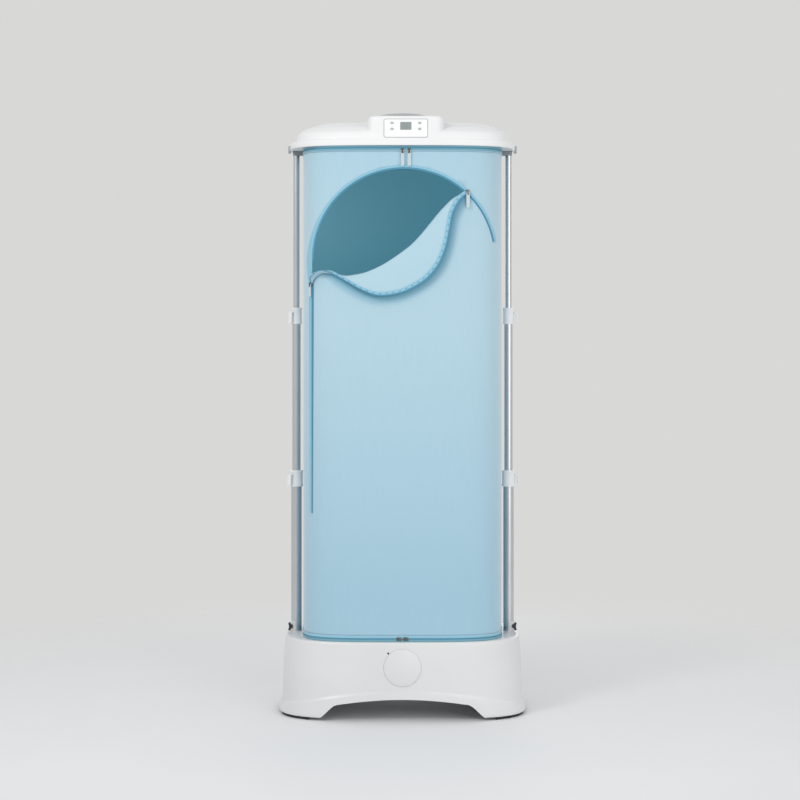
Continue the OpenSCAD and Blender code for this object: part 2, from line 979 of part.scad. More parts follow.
module right_lower_clamp() {
    color([0.93, 0.93, 0.93])
        place_clamp(1, lower_clamp_z)
            clamp(lower_od, middle_od);
}

module left_upper_clamp() {
    color([0.93, 0.93, 0.93])
        place_clamp(-1, upper_clamp_z)
            clamp(middle_od, upper_od);
}

module right_upper_clamp() {
    color([0.93, 0.93, 0.93])
        place_clamp(1, upper_clamp_z)
            clamp(middle_od, upper_od);
}

module left_lower_lever() {
    color([0.95, 0.95, 0.95])
        place_clamp(-1, lower_clamp_z)
            lever(lower_od);
}

module right_lower_lever() {
    color([0.95, 0.95, 0.95])
        place_clamp(1, lower_clamp_z)
            lever(lower_od);
}

module left_upper_lever() {
    color([0.95, 0.95, 0.95])
        place_clamp(-1, upper_clamp_z)
            lever(middle_od);
}

module right_upper_lever() {
    color([0.95, 0.95, 0.95])
        place_clamp(1, upper_clamp_z)
            lever(middle_od);
}

// Levels of the top housing, drawn in from the outside by a margin
function dome_levels(margin) = [
    for (s = dome_profile)
        level(rim_a - s[0] - margin, rim_b - s[1] - margin, plan_power,
            rim_top + dome_h * s[2] - margin)
];

// One level of the rim at height z, drawn in by a margin
function rim_level(z, margin) = level(rim_a - margin, rim_b - margin, plan_power, z);

module dome_outside() {
    loft(concat(
        [rim_level(top_z - rim_round, rim_round)],
        [rim_level(top_z, 0)],
        [rim_level(rim_top - rim_round, 0)],
        [rim_level(rim_top, rim_round)],
        dome_levels(0)
    ));
}

module dome_inside() {
    loft(concat(
        [rim_level(top_z - rim_round - eps, rim_wall)],
        [rim_level(rim_top - rim_wall, rim_wall)],
        dome_levels(wall)
    ));
}

// Control pod at the front of the top housing, drawn in by a margin
module pod_block(margin, bottom) {
    centre = [pod_x, pod_y];
    a = pod_a - margin;
    b = pod_b - margin;
    top = pod_top - margin;
    loft(concat(
        [level(a, b, pod_power, bottom, 0, centre)],
        [for (s = pod_round) level(a - s[1], b - s[1], pod_power, top - s[0], 0, centre)]
    ));
}

module top_shell() {
    color([0.94, 0.94, 0.94])
        difference() {
            union() {
                dome_outside();
                pod_block(0, rim_top - rim_h / 2);
            }
            dome_inside();
            pod_block(wall, rim_top - rim_h / 2 - eps);
            translate([0, vent_y, dome_top - rim_h])
                cylinder(r = vent_r - vent_collar, h = dome_h);
            translate([pod_x, -pod_front + panel_t - panel_proud, panel_z])
                facing_front(3 * panel_t)
                    round_rect(panel_w + 2 * seat_gap, panel_h + 2 * seat_gap, panel_r);
            translate([pod_x, -pod_front + 3 * wall, panel_z])
                facing_front(6 * wall)
                    round_rect(panel_w - 2 * panel_ledge, panel_h - 2 * panel_ledge, panel_r);
            for (side = [-1, 1])
                translate([side * mast_x, 0, top_bolt_z])
                    rotate([0, side * 90, 0])
                        cylinder(r = bolt_r + move_gap, h = 3 * rim_out);
        }
}

// Lid under the top housing
module top_pan() {
    hole_r = upper_od / 2 + top_socket_wall + seat_gap;
    lid_slot_r = vent_r - lid_slot_margin;
    lid_slots = floor((lid_slot_r - lid_slot) / lid_slot_pitch);
    color([0.88, 0.88, 0.88])
        translate([0, 0, top_z])
            difference() {
                linear_extrude(height = lid_t)
                    polygon(plan_outline(lid_a, lid_b, plan_power, plan_n));
                for (side = [-1, 1])
                    translate([side * mast_x, 0, -eps])
                        cylinder(r = hole_r, h = lid_t + 2 * eps);
                for (i = [-lid_slots:lid_slots])
                    translate([i * lid_slot_pitch, vent_y, -eps])
                        linear_extrude(height = lid_t + 2 * eps)
                            square([lid_slot, 2 * sqrt(pow(lid_slot_r, 2) - pow(i * lid_slot_pitch, 2))],
                                center = true);
            }
}

// Round outlet cap on the top, a low dome over a slatted skirt
module top_vent() {
    seat = vent_r - vent_collar - seat_gap;
    inner = seat - vent_wall;
    color([0.7, 0.7, 0.7])
        translate([0, vent_y, 0])
            union() {
                translate([0, 0, dome_top - vent_seat_drop])
                    pipe(seat, inner, pod_top - dome_top + vent_seat_drop + vent_step);
                translate([0, 0, pod_top + seat_gap])
                    pipe(vent_r, inner, vent_step);
                for (i = [0:vent_slats - 1])
                    rotate([0, 0, (i + 0.5) * 360 / vent_slats])
                        translate([inner + vent_wall / 2, -vent_wall / 2, pod_top + vent_step / 2])
                            cube([vent_slat_w, vent_wall, vent_slat_h]);
                translate([0, 0, pod_top + vent_gap])
                    rotate_extrude()
                        polygon(concat(
                            [[0, 0], [vent_r - vent_edge, 0], [vent_r, vent_edge]],
                            [for (i = [1:bow_steps]) let (u = 90 * i / bow_steps)
                                [vent_r * cos(u), vent_edge + vent_crown * sin(u)]]
                        ));
            }
}

// Blocks in the top housing that hold the upper tubes
module top_sockets() {
    r_in = upper_od / 2 + pin_gap;
    r_out = upper_od / 2 + top_socket_wall;
    color([0.82, 0.82, 0.82])
        for (side = [-1, 1])
            translate([side * mast_x, 0, top_z - top_socket_h])
                difference() {
                    intersection() {
                        union() {
                            cylinder(r = r_out, h = top_socket_h + rim_h - socket_step);
                            translate([side > 0 ? -top_socket_block : 0, -r_out, 0])
                                cube([top_socket_block, 2 * r_out, top_socket_h]);
                        }
                        translate([-side * mast_x, 0, 0])
                            linear_extrude(height = top_socket_h + rim_h)
                                polygon(plan_outline(lid_a, lid_b, plan_power, plan_n));
                    }
                    translate([0, 0, -eps])
                        cylinder(r = r_in, h = top_socket_h + rim_h + eps);
                    translate([0, 0, top_bolt_z - top_z + top_socket_h])
                        rotate([0, side * 90, 0])
                            cylinder(r = bolt_r + pin_gap, h = 2 * r_out);
                }
}

// Thumb knob that holds an upper tube in its socket, along +X
module top_knob(side) {
    shank = rim_out - upper_od / 2 + seat_gap;
    color([0.8, 0.8, 0.8])
        translate([side * (mast_x + upper_od / 2 + move_gap), 0, top_bolt_z])
            rotate([0, side * 90, 0])
                difference() {
                    union() {
                        cylinder(r = bolt_r, h = shank + eps);
                        translate([0, 0, shank])
                            cylinder(r = knob_r, h = knob_h);
                    }
                    for (i = [0:knob_flutes - 1])
                        rotate([0, 0, i * 360 / knob_flutes])
                            translate([knob_r + flute_r / 2, 0, shank - eps])
                                cylinder(r = flute_r, h = knob_h + 2 * eps);
                    translate([0, 0, shank + knob_h - knob_recess])
                        cylinder(r = knob_r - knob_rim, h = 2 * knob_recess);
                }
}

module left_top_knob() {
    top_knob(-1);
}

module right_top_knob() {
    top_knob(1);
}

module button_shape(margin) {
    round_rect(button_w + 2 * margin, button_h + 2 * margin, button_h * button_round + margin);
}

function button_z(row) = display_z + row * button_pitch / 2;

module control_panel() {
    color([0.96, 0.96, 0.96])
        translate([pod_x, -panel_front + panel_t, 0])
            difference() {
                translate([0, 0, panel_z])
                    facing_front(panel_t)
                        round_rect(panel_w, panel_h, panel_r);
                translate([0, -panel_t + display_t, display_z])
                    facing_front(panel_t)
                        square([display_w, display_h], center = true);
                for (x = [-1, 1], row = [-1, 1])
                    translate([x * button_x, eps, button_z(row)])
                        facing_front(panel_t + 2 * eps)
                            button_shape(move_gap);
            }
}

module display() {
    color([0.62, 0.63, 0.6])
        translate([pod_x, -panel_front + display_t, display_z])
            facing_front(display_t - display_sunk)
                square([display_w - 2 * seat_gap, display_h - 2 * seat_gap], center = true);
}

module control_board() {
    color([0.15, 0.4, 0.25])
        translate([pod_x, -panel_front + panel_t + button_len, panel_z])
            union() {
                rotate([-90, 0, 0])
                    linear_extrude(height = board_t)
                        square([panel_w - 2 * board_margin, panel_h - 2 * board_margin], center = true);
                for (x = [-1, 1], z = [-1, 1])
                    translate([x * (panel_w / 2 - board_post_x), eps, z * (panel_h / 2 - board_post_z)])
                        rotate([90, 0, 0])
                            cylinder(r = board_post_r, h = button_len + eps);
            }
}

module button(x, row) {
    color([0.6, 0.6, 0.6])
        translate([pod_x + x * button_x, -panel_front + button_len - button_out - button_travel,
            button_z(row)])
            facing_front(button_len - button_travel)
                button_shape(0);
}

module button_upper_left() {
    button(-1, 1);
}

module button_lower_left() {
    button(-1, -1);
}

module button_upper_right() {
    button(1, 1);
}

module button_lower_right() {
    button(1, -1);
}

// Rail with its two hangers
module hanging_rail() {
    hanger_x = rail_len / 2 - hanger_inset;
    color([0.82, 0.83, 0.84])
        translate([0, 0, top_z - rail_drop])
            union() {
                translate([-rail_len / 2, 0, 0])
                    rotate([0, 90, 0])
                        pipe(rail_od / 2, rail_od / 2 - rail_wall, rail_len);
                for (x = [-hanger_x, hanger_x])
                    translate([x, 0, 0])
                        hanger_bracket();
                for (side = [-1, 1])
                    translate([side * (rail_len / 2 - eps), 0, 0])
                        rotate([0, side * 90, 0])
                            cylinder(r = rail_od / 2 + rail_cap_out, h = rail_cap_t);
            }
}

// Hanger of the rail: a ring, a web and a foot plate under the lid
module hanger_bracket() {
    difference() {
        translate([-hanger_w / 2, 0, 0])
            union() {
                rotate([0, 90, 0])
                    cylinder(r = rail_od / 2 + hanger_ring, h = hanger_w);
                translate([0, -hanger_web / 2, 0])
                    cube([hanger_w, hanger_web, rail_drop]);
                translate([0, -hanger_foot / 2, rail_drop - hanger_foot_t])
                    cube([hanger_w, hanger_foot, hanger_foot_t]);
            }
        translate([-hanger_w / 2 - eps, 0, 0])
            rotate([0, 90, 0])
                cylinder(r = rail_od / 2 - rail_wall / 2, h = hanger_w + 2 * eps);
    }
}

module zip_band(z) {
    color([0.35, 0.6, 0.68])
        translate([0, 0, z])
            linear_extrude(height = band_h)
                difference() {
                    polygon(plan_outline(cover_a, cover_b, cover_power, plan_n * 2));
                    polygon(plan_outline(cover_a - band_t, cover_b - band_t, cover_power,
                        plan_n * 2));
                }
}

module bottom_band() {
    zip_band(base_h);
}

module top_band() {
    zip_band(top_z - band_h);
}

// Share of the fold depth at height u between the two bands, from 0 to 1
function fold_share(u) = sin(180 * pow(u, fold_spread));

// One level of the cover, at height u between its ends, drawn in by a margin
function cover_level(u, margin) = [
    for (i = [0:cover_n - 1])
        let (t = 360 * (i + 0.5) / cover_n,
            swing = cos(fold_count * t + fold_wander * sin(2 * t)),
            wave = fold_depth * fold_share(u) * (1 + swing) / 2,
            inset = wave + margin,
            angle = atan2(cover_b * sin(t), cover_a * cos(t)),
            r = plan_radius(cover_a - inset, cover_b - inset, cover_power, angle))
            [r * cos(angle), r * sin(angle), cover_bottom + (cover_top - cover_bottom) * u]
];

// Open tube of fabric through its levels, outside and inside
module cover_tube() {
    difference() {
        loft([for (k = [0:cover_rings - 1]) cover_level(k / (cover_rings - 1), 0)]);
        translate([0, 0, cover_bottom])
            linear_extrude(height = cover_top - cover_bottom + eps)
                polygon([for (p = cover_level(0.5, cloth_t)) [p[0], p[1]]]);
        translate([0, 0, cover_bottom - eps])
            linear_extrude(height = 2 * eps)
                polygon(plan_outline(cover_a - cloth_t, cover_b - cloth_t, cover_power, cover_n));
    }
}

// Ends of the fold along which the flap turns out, and how far it bellies below their line
side_slider_z = door_z - side_slider_drop;
fold_left = [door_x - door_r, side_slider_z];
fold_right = [door_x + door_r * cos(arch_slider_angle), door_z + door_r * sin(arch_slider_angle)];
function fold_point(u) = [
    fold_left[0] + (fold_right[0] - fold_left[0]) * u,
    fold_left[1] + (fold_right[1] - fold_left[1]) * u - fold_belly * sin(180 * u)
];

// Free edge of the flap below the fold
function flap_edge(u) = fold_point(u) + [
    flap_lean * sin(180 * u),
    -flap_drop * pow(sin(180 * u), fold_spread)
];

// Opening between the arch and the fold
module door_outline() {
    polygon(concat(
        [for (i = [0:flap_steps]) fold_point(i / flap_steps)],
        [for (i = [1:door_steps]) let (angle = arch_slider_angle
            + (180 - arch_slider_angle) * i / door_steps)
            [door_x + door_r * cos(angle), door_z + door_r * sin(angle)]]
    ));
}

module cover() {
    color([0.7, 0.84, 0.9])
        difference() {
            cover_tube();
            translate([0, -cover_b / 3, 0])
                facing_front(cover_b)
                    door_outline();
        }
}

// Front of the cover at x, moved out by a gap
function front_y(x, gap) = -plan_depth(cover_a, cover_b, cover_power, x) - gap;

// Angle in degrees by which the cover's face at x turns away from the front
function front_turn(x) = let (u = abs(x) / cover_a, v = -front_y(x, 0) / cover_b)
    sign(x) * atan2(pow(u, cover_power - 1) / cover_a, pow(v, cover_power - 1) / cover_b);

// Fabric turned out over the fold, hanging in front of the cover
module door_flap() {
    function row(p, gap) = [p[0], front_y(p[0], flap_gap + gap), p[1]];
    points = [for (i = [0:flap_steps]) let (u = flap_start + flap_span * i / flap_steps,
        top = fold_point(u), low = flap_edge(u), middle = (top + low) / 2,
        swell = flap_swell * sin(180 * u))
        each [
            row(top + [0, 2 * flap_crease], 0),
            row(top + [0, flap_crease], cloth_t + swell * 0.8),
            row(middle, cloth_t + swell * 1.2),
            row(low, cloth_t + swell * 0.4),
            row(low, swell * 0.4),
            row(middle, swell * 1.2),
            row(top, 0)
        ]];
    color([0.75, 0.86, 0.9])
        sweep_solid(points, 7);
}

// Closed solid through rows of the same number of points
module sweep_solid(points, n) {
    rows = len(points) / n;
    polyhedron(
        points = points,
        faces = concat(
            [[for (i = [0:n - 1]) i]],
            [for (k = [0:rows - 2], i = [0:n - 1])
                [k * n + i, (k + 1) * n + i, (k + 1) * n + (i + 1) % n, k * n + (i + 1) % n]],
            [[for (i = [n - 1:-1:0]) (rows - 1) * n + i]]
        )
    );
}

// Upright zip tape beside the door
module side_tape() {
    x = door_x - door_r;
    half = tape_w / 2;
    steps = 6;
    color([0.5, 0.72, 0.84])
        translate([0, 0, zip_end_z])
            linear_extrude(height = door_z - side_tape_gap - zip_end_z)
                polygon(concat(
                    [for (i = [0:steps]) let (p = x - half + tape_w * i / steps)
                        [p, front_y(p, soft_gap)]],
                    [for (i = [steps:-1:0]) let (p = x - half + tape_w * i / steps)
                        [p, front_y(p, soft_gap + tape_t)]]
                ));
}

// Zip tape round the door's top
module arch_tape() {
    function at(angle, r, gap) = let (x = door_x + r * cos(angle))
        [x, front_y(x, gap), door_z + r * sin(angle)];
    near = soft_gap + seat_gap;
    r_in = door_r + tape_edge;
    r_out = r_in + tape_w;
    r_mid = (r_in + r_out) / 2;
    points = [for (i = [0:tape_steps])
        let (angle = arch_tape_start + (180 - arch_tape_start) * i / tape_steps)
        each [
            at(angle, r_in, near),
            at(angle, r_mid, near),
            at(angle, r_out, near),
            at(angle, r_out, near + tape_t),
            at(angle, r_mid, near + tape_t),
            at(angle, r_in, near + tape_t)
        ]];
    color([0.5, 0.72, 0.84])
        sweep_solid(points, 6);
}

// Zip slider seen from the front, its pull's bridge below the middle
module slider_body() {
    difference() {
        union() {
            facing_front(slider_plate_t)
                round_rect(slider_w, slider_h, slider_r);
            translate([-bridge_w / 2, -slider_t - bridge_proud, -bridge_h / 2])
                cube([bridge_w, bridge_t, bridge_h]);
        }
        translate([-slider_w, -pull_pin_y, 0])
            rotate([0, 90, 0])
                cylinder(r = pull_pin_r + pin_gap, h = 2 * slider_w);
    }
}

// Pull that hangs from the slider's bridge
module pull(length) {
    union() {
        translate([-pull_pin_len / 2, -pull_pin_y, 0])
            rotate([0, 90, 0])
                cylinder(r = pull_pin_r, h = pull_pin_len);
        for (x = [-pull_arm_x - pull_arm_w, pull_arm_x])
            translate([x, -pull_pin_y - pull_t / 2, -pull_drop])
                cube([pull_arm_w, pull_t, pull_drop + pull_pin_r]);
        translate([0, -pull_pin_y + pull_t / 2, -pull_drop - length / 2 + 1])
            facing_front(pull_t)
                round_rect(pull_w, length, pull_r);
    }
}

side_slider_x = door_x - door_r;
arch_slider_x = fold_right[0];
top_slider_z = top_z - band_h;

// Gap between the cover and a slider that runs just over a tape
function over_tape(x, near) = (near + tape_t) * cos(front_turn(x)) + soft_gap;

// Place on the cover's front at x and z, moved out by a gap and turned to face outwards
module place_on_cover(x, z, gap) {
    turn = front_turn(x);
    translate([x + gap * sin(turn), front_y(x, gap * cos(turn)), z])
        rotate([0, 0, turn])
            children();
}

module place_side_slider() {
    place_on_cover(side_slider_x, side_slider_z, over_tape(side_slider_x, soft_gap))
        children();
}

module side_slider() {
    color([0.85, 0.86, 0.88])
        place_side_slider()
            slider_body();
}

module side_pull() {
    color([0.93, 0.94, 0.95])
        place_side_slider()
            pull(short_pull);
}

module place_arch_slider() {
    place_on_cover(arch_slider_x, fold_right[1], over_tape(arch_slider_x, soft_gap + seat_gap))
        children();
}

module arch_slider() {
    color([0.85, 0.86, 0.88])
        place_arch_slider()
            slider_body();
}

module arch_pull() {
    color([0.93, 0.94, 0.95])
        place_arch_slider()
            pull(long_pull);
}

module place_band_slider(x, z) {
    translate([x, -cover_b - soft_gap, z])
        children();
}

module top_slider_left() {
    color([0.85, 0.86, 0.88])
        place_band_slider(0, top_slider_z)
            slider_body();
}

module top_pull_left() {
    color([0.93, 0.94, 0.95])
        place_band_slider(0, top_slider_z)
            pull(long_pull);
}

module top_slider_right() {
    color([0.85, 0.86, 0.88])
        place_band_slider(slider_pitch, top_slider_z)
            slider_body();
}

module top_pull_right() {
    color([0.93, 0.94, 0.95])
        place_band_slider(slider_pitch, top_slider_z)
            pull(long_pull);
}

module bottom_slider(x) {
    color([0.85, 0.86, 0.88])
        place_band_slider(x, base_h + band_h / 2)
            facing_front(slider_plate_t)
                round_rect(slider_h, slider_w, slider_r);
}

module bottom_slider_left() {
    bottom_slider(-slider_pitch / 2);
}

module bottom_slider_right() {
    bottom_slider(slider_pitch / 2);
}

base_shell();
base_pan();
feet();
badge();
indicator();
outlet_grille();
heater();
fan_housing();
fan_motor();
fan_impeller();
power_inlet();
base_sockets();
left_base_bolt();
right_base_bolt();
left_lower_tube();
right_lower_tube();
left_lower_clamp();
right_lower_clamp();
left_lower_lever();
right_lower_lever();
left_middle_tube();
right_middle_tube();
left_upper_clamp();
right_upper_clamp();
left_upper_lever();
right_upper_lever();
left_upper_tube();
right_upper_tube();
top_shell();
top_pan();
top_vent();
top_sockets();
left_top_knob();
right_top_knob();
control_panel();
display();
control_board();
button_upper_left();
button_lower_left();
button_upper_right();
button_lower_right();
hanging_rail();
top_band();
bottom_band();
cover();
door_flap();
side_tape();
arch_tape();
side_slider();
side_pull();
arch_slider();
arch_pull();
top_slider_left();
top_pull_left();
top_slider_right();
top_pull_right();
bottom_slider_left();
bottom_slider_right();
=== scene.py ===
"""Looks of an electric clothes drying rack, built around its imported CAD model.

A heated blower base, two telescopic masts, a lid with the controls, and a fabric cover
with a round-topped zip door. All sizes are in metres, in the frame of the CAD model.
"""
import json
import logging
import math
from collections.abc import Callable
from dataclasses import dataclass, field
from enum import Enum

import bpy
import numpy as np
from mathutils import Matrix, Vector
from mathutils.geometry import delaunay_2d_cdt

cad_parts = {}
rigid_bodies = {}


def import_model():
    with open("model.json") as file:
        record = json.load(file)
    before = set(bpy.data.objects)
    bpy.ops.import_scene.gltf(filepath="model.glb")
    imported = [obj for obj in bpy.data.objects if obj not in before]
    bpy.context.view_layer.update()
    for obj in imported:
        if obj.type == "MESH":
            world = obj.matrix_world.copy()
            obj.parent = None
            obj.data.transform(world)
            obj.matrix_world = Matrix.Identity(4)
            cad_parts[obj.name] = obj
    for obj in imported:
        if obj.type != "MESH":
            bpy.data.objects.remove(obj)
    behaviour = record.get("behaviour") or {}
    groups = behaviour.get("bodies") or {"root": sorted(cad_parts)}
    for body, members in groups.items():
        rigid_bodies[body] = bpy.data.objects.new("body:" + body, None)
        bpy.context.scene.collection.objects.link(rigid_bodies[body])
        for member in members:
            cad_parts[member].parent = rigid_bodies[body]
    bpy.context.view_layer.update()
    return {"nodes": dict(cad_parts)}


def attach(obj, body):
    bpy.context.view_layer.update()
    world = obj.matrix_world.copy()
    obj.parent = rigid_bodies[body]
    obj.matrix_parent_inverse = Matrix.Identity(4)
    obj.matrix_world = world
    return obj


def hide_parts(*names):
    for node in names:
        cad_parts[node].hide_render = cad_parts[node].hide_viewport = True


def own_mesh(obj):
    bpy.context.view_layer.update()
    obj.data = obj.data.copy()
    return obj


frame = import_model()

log = logging.getLogger("drying_rack")

Array = np.ndarray
Obj = bpy.types.Object
Socket = bpy.types.NodeSocket
Tree = bpy.types.NodeTree
Colour = tuple[int, int, int]
Point = tuple[float, float]
Triple = tuple[float, float, float]

# Plan outlines of the base, the lid and the cover are superellipses of these powers
SHELL_POWER = 3.4
COVER_POWER = 4.3
# Points round the base and the lid
SHELL_COLUMNS = 440
# Half sizes of the cover's plan, and where the masts stand
COVER_A = 0.273
COVER_B = 0.205
MAST_X = 0.295
# Levels of the base's top, the lid's underside, the zip bands and the cloth's ends
BASE_TOP = 0.212
LID_UNDERSIDE = 1.545
BAND_HEIGHT = 0.016
COVER_LOW = 0.2283
COVER_HIGH = 1.5287
# Distance within which doubled points are merged
WELD = 0.00002
# Points of a fine outline from which evenly spaced ones are found
PLAN_STEPS = 20001
# Angle in degrees above which an edge of cloth stays sharp
CLOTH_SHARP = 80.0

SIDES = ("left", "right")
STAGES = tuple(f"{side}_{stage}" for side in SIDES for stage in ("lower", "upper"))
# Widths of the softened edges of the small rigid CAD pieces
BEVELS: dict[str, float] = {
    **{f"{stage}_clamp": 0.0007 for stage in STAGES},
    **{f"{stage}_lever": 0.0006 for stage in STAGES},
    **{f"{side}_{kind}": 0.0004 for kind in ("base_bolt", "top_knob") for side in SIDES},
    "control_panel": 0.0005, "badge": 0.0008,
    **{name: 0.0003 for name in (
        "side_slider", "arch_slider",
        *[f"{band}_slider_{side}" for band in ("top", "bottom") for side in SIDES],
        "side_pull", "arch_pull", *[f"top_pull_{side}" for side in SIDES])}}


class Body(Enum):
    """Bodies of the CAD model that the new pieces ride on."""

    FRAME = "frame"
    TOP = "top"


class Bead(Enum):
    """Shape of the small part that a row repeats."""

    STITCH = "stitch"
    TOOTH = "tooth"


# ---------------------------------------------------------------- colours and materials


def linear(colour: Colour) -> tuple[float, ...]:
    """Turns an sRGB colour of 0 to 255 into Blender's linear one, with its alpha."""
    return (*[c / 12.92 if c <= 0.04045 else ((c + 0.055) / 1.055) ** 2.4
              for c in (channel / 255 for channel in colour)], 1.0)


def tinted(colour: Colour, share: float) -> list[tuple[float, ...]]:
    """Linear forms of a colour that are darker and lighter by a share."""
    return [(*[c * (1 + s * share) for c in linear(colour)[:3]], 1.0) for s in (-1, 1)]


class Graph:
    """A node tree with short calls for adding and linking nodes."""

    def __init__(self, tree: Tree) -> None:
        """Keeps the tree that the nodes go into."""
        self.tree = tree

    def node(self, kind: str, inputs: dict | None = None, **settings: object) -> bpy.types.Node:
        """Adds a node.

        Args:
            kind: The node's Blender type.
            inputs: Values or output sockets by input name or index.
            settings: Properties of the node, such as its operation.

        Returns:
            The new node.
        """
        made = self.tree.nodes.new(kind)
        for name, value in settings.items():
            setattr(made, name, value)
        for name, value in (inputs or {}).items():
            if isinstance(value, Socket):
                self.tree.links.new(value, made.inputs[name])
            else:
                made.inputs[name].default_value = value
        return made

    def math(self, operation: str, *values: float | Socket) -> Socket:
        """Adds a Math node and returns its result."""
        return self.node("ShaderNodeMath", dict(enumerate(values)), operation=operation).outputs[0]

    def sine(self, value: Socket, times: float) -> Socket:
        """Sine of a value times a number."""
        return self.math("SINE", self.math("MULTIPLY", value, times))

    def ramp(self, value: Socket, low: float, high: float, to_low: float = 0.0,
             to_high: float = 1.0) -> Socket:
        """Maps a value from one range to another, clamped, and returns it."""
        return self.node("ShaderNodeMapRange",
                         {0: value, 1: low, 2: high, 3: to_low, 4: to_high}).outputs[0]

    def noise(self, place: Socket, detail: float, scale: float | Socket = 1.0) -> Socket:
        """Adds a noise texture and returns its value."""
        return self.node("ShaderNodeTexNoise",
                         {"Vector": place, "Scale": scale, "Detail": detail}).outputs[0]

    def mix(self, share: Socket, first: object, second: object, blend: str = "MIX") -> Socket:
        """Mixes two colours and returns the result."""
        return self.node("ShaderNodeMix", {0: share, 6: first, 7: second}, data_type="RGBA",
                         blend_type=blend).outputs[2]

    def split(self, place: Socket) -> bpy.types.NodeOutputs:
        """Splits a place and returns its axes."""
        return self.node("ShaderNodeSeparateXYZ", {0: place}).outputs

    def scaled(self, place: Socket, *factors: Socket) -> Socket:
        """Multiplies the axes of a place, each by its own factor, and returns the new place.

        Args:
            place: The place.
            factors: The factor on each axis, x first.

        Returns:
            The new place.
        """
        axes = self.split(place)
        return self.node("ShaderNodeCombineXYZ", {
            i: self.math("MULTIPLY", axes[i], f) for i, f in enumerate(factors)}).outputs[0]

    def place(self) -> Socket:
        """Place on the object."""
        return self.node("ShaderNodeTexCoord").outputs["Object"]

    def uv(self, name: str) -> Socket:
        """Place on a UV map."""
        return self.node("ShaderNodeUVMap", uv_map=name).outputs[0]

    def effect(self, kind: str, place: Socket, **sizes: float) -> tuple[Socket, ...]:
        """Adds one of the shared effects and returns its results."""
        return tuple(self.node("ShaderNodeGroup", {"Place": place, **sizes},
                               node_tree=Effects.group(kind)).outputs)


def add_sockets(tree: Tree, way: str, kinds: dict[str, str]) -> None:
    """Adds inputs or outputs to a node group, each by its name and kind."""
    for label, kind in kinds.items():
        tree.interface.new_socket(label, in_out=way, socket_type=f"NodeSocket{kind}")


class Effects:
    """Shader node groups that several finishes share, each built once."""

    sizes: dict[str, dict[str, float]] = {
        "moulded_grain": {"Grain": 900.0, "Patch": 5.0},
        "drawn_lines": {"Lines": 1400.0, "Along": 6.0},
        "plain_weave": {"Threads": 1100.0, "Slubs": 160.0, "Creases": 9.0}}

    @classmethod
    def group(cls, kind: str) -> Tree:
        """Builds the group of a kind, or returns it where it was built before.

        Args:
            kind: The name of the group and of the method that draws it.

        Returns:
            The node group.
        """
        tree = bpy.data.node_groups.get(kind)
        if tree:
            return tree
        tree = bpy.data.node_groups.new(kind, "ShaderNodeTree")
        add_sockets(tree, "INPUT", {"Place": "Vector", **dict.fromkeys(cls.sizes[kind], "Float")})
        for label, value in cls.sizes[kind].items():
            tree.interface.items_tree[label].default_value = value
        given = tree.nodes.new("NodeGroupInput").outputs
        results = getattr(cls, kind)(Graph(tree), given)
        add_sockets(tree, "OUTPUT", dict.fromkeys(results, "Float"))
        end = tree.nodes.new("NodeGroupOutput").inputs
        for label, value in results.items():
            tree.links.new(value, end[label])
        return tree

    @staticmethod
    def moulded_grain(graph: Graph, given: bpy.types.NodeOutputs) -> dict[str, Socket]:
        """Fine spark-eroded grain and slow shifts of tone, as on moulded plastic.

        Args:
            graph: The graph to draw in.
            given: The group's inputs.

        Returns:
            The results by their names.
        """
        fine = graph.noise(given["Place"], 3.0, given["Grain"])
        slow = graph.noise(given["Place"], 2.0, given["Patch"])
        return {"Height": fine, "Tone": graph.ramp(slow, 0.35, 0.65)}

    @staticmethod
    def drawn_lines(graph: Graph, given: bpy.types.NodeOutputs) -> dict[str, Socket]:
        """Long fine lines up the tubes, as drawn aluminium has.

        Args:
            graph: The graph to draw in.
            given: The group's inputs.

        Returns:
            The results by their names.
        """
        place, lines = given["Place"], given["Lines"]
        fine = graph.noise(graph.scaled(place, lines, lines, given["Along"]), 3.0)
        return {"Height": fine, "Tone": graph.ramp(graph.noise(place, 3.0, 9.0), 0.3, 0.7)}

    @staticmethod
    def plain_weave(graph: Graph, given: bpy.types.NodeOutputs) -> dict[str, Socket]:
        """Plain weave on a UV map in metres, with slubs and soft hanging creases.

        Args:
            graph: The graph to draw in.
            given: The group's inputs.

        Returns:
            The results by their names.
        """
        place = given["Place"]
        axes = graph.split(place)
        waves = [graph.sine(graph.math("MULTIPLY", axes[i], given["Threads"]), math.pi)
                 for i in (0, 1)]
        over = graph.math("GREATER_THAN", graph.math("MULTIPLY", *waves), 0.0)
        warp, weft = (graph.math("ABSOLUTE", w) for w in waves)
        threads = graph.node("ShaderNodeMix", {0: over, 2: warp, 3: weft}).outputs[0]
        slubs, creases = (
            graph.noise(graph.scaled(place, given[name],
                                     graph.math("MULTIPLY", given[name], along)), detail)
            for name, along, detail in (("Slubs", 0.08, 2.0), ("Creases", 0.3, 3.0)))
        return {"Height": threads, "Tone": graph.ramp(slubs, 0.3, 0.7), "Crease": creases}


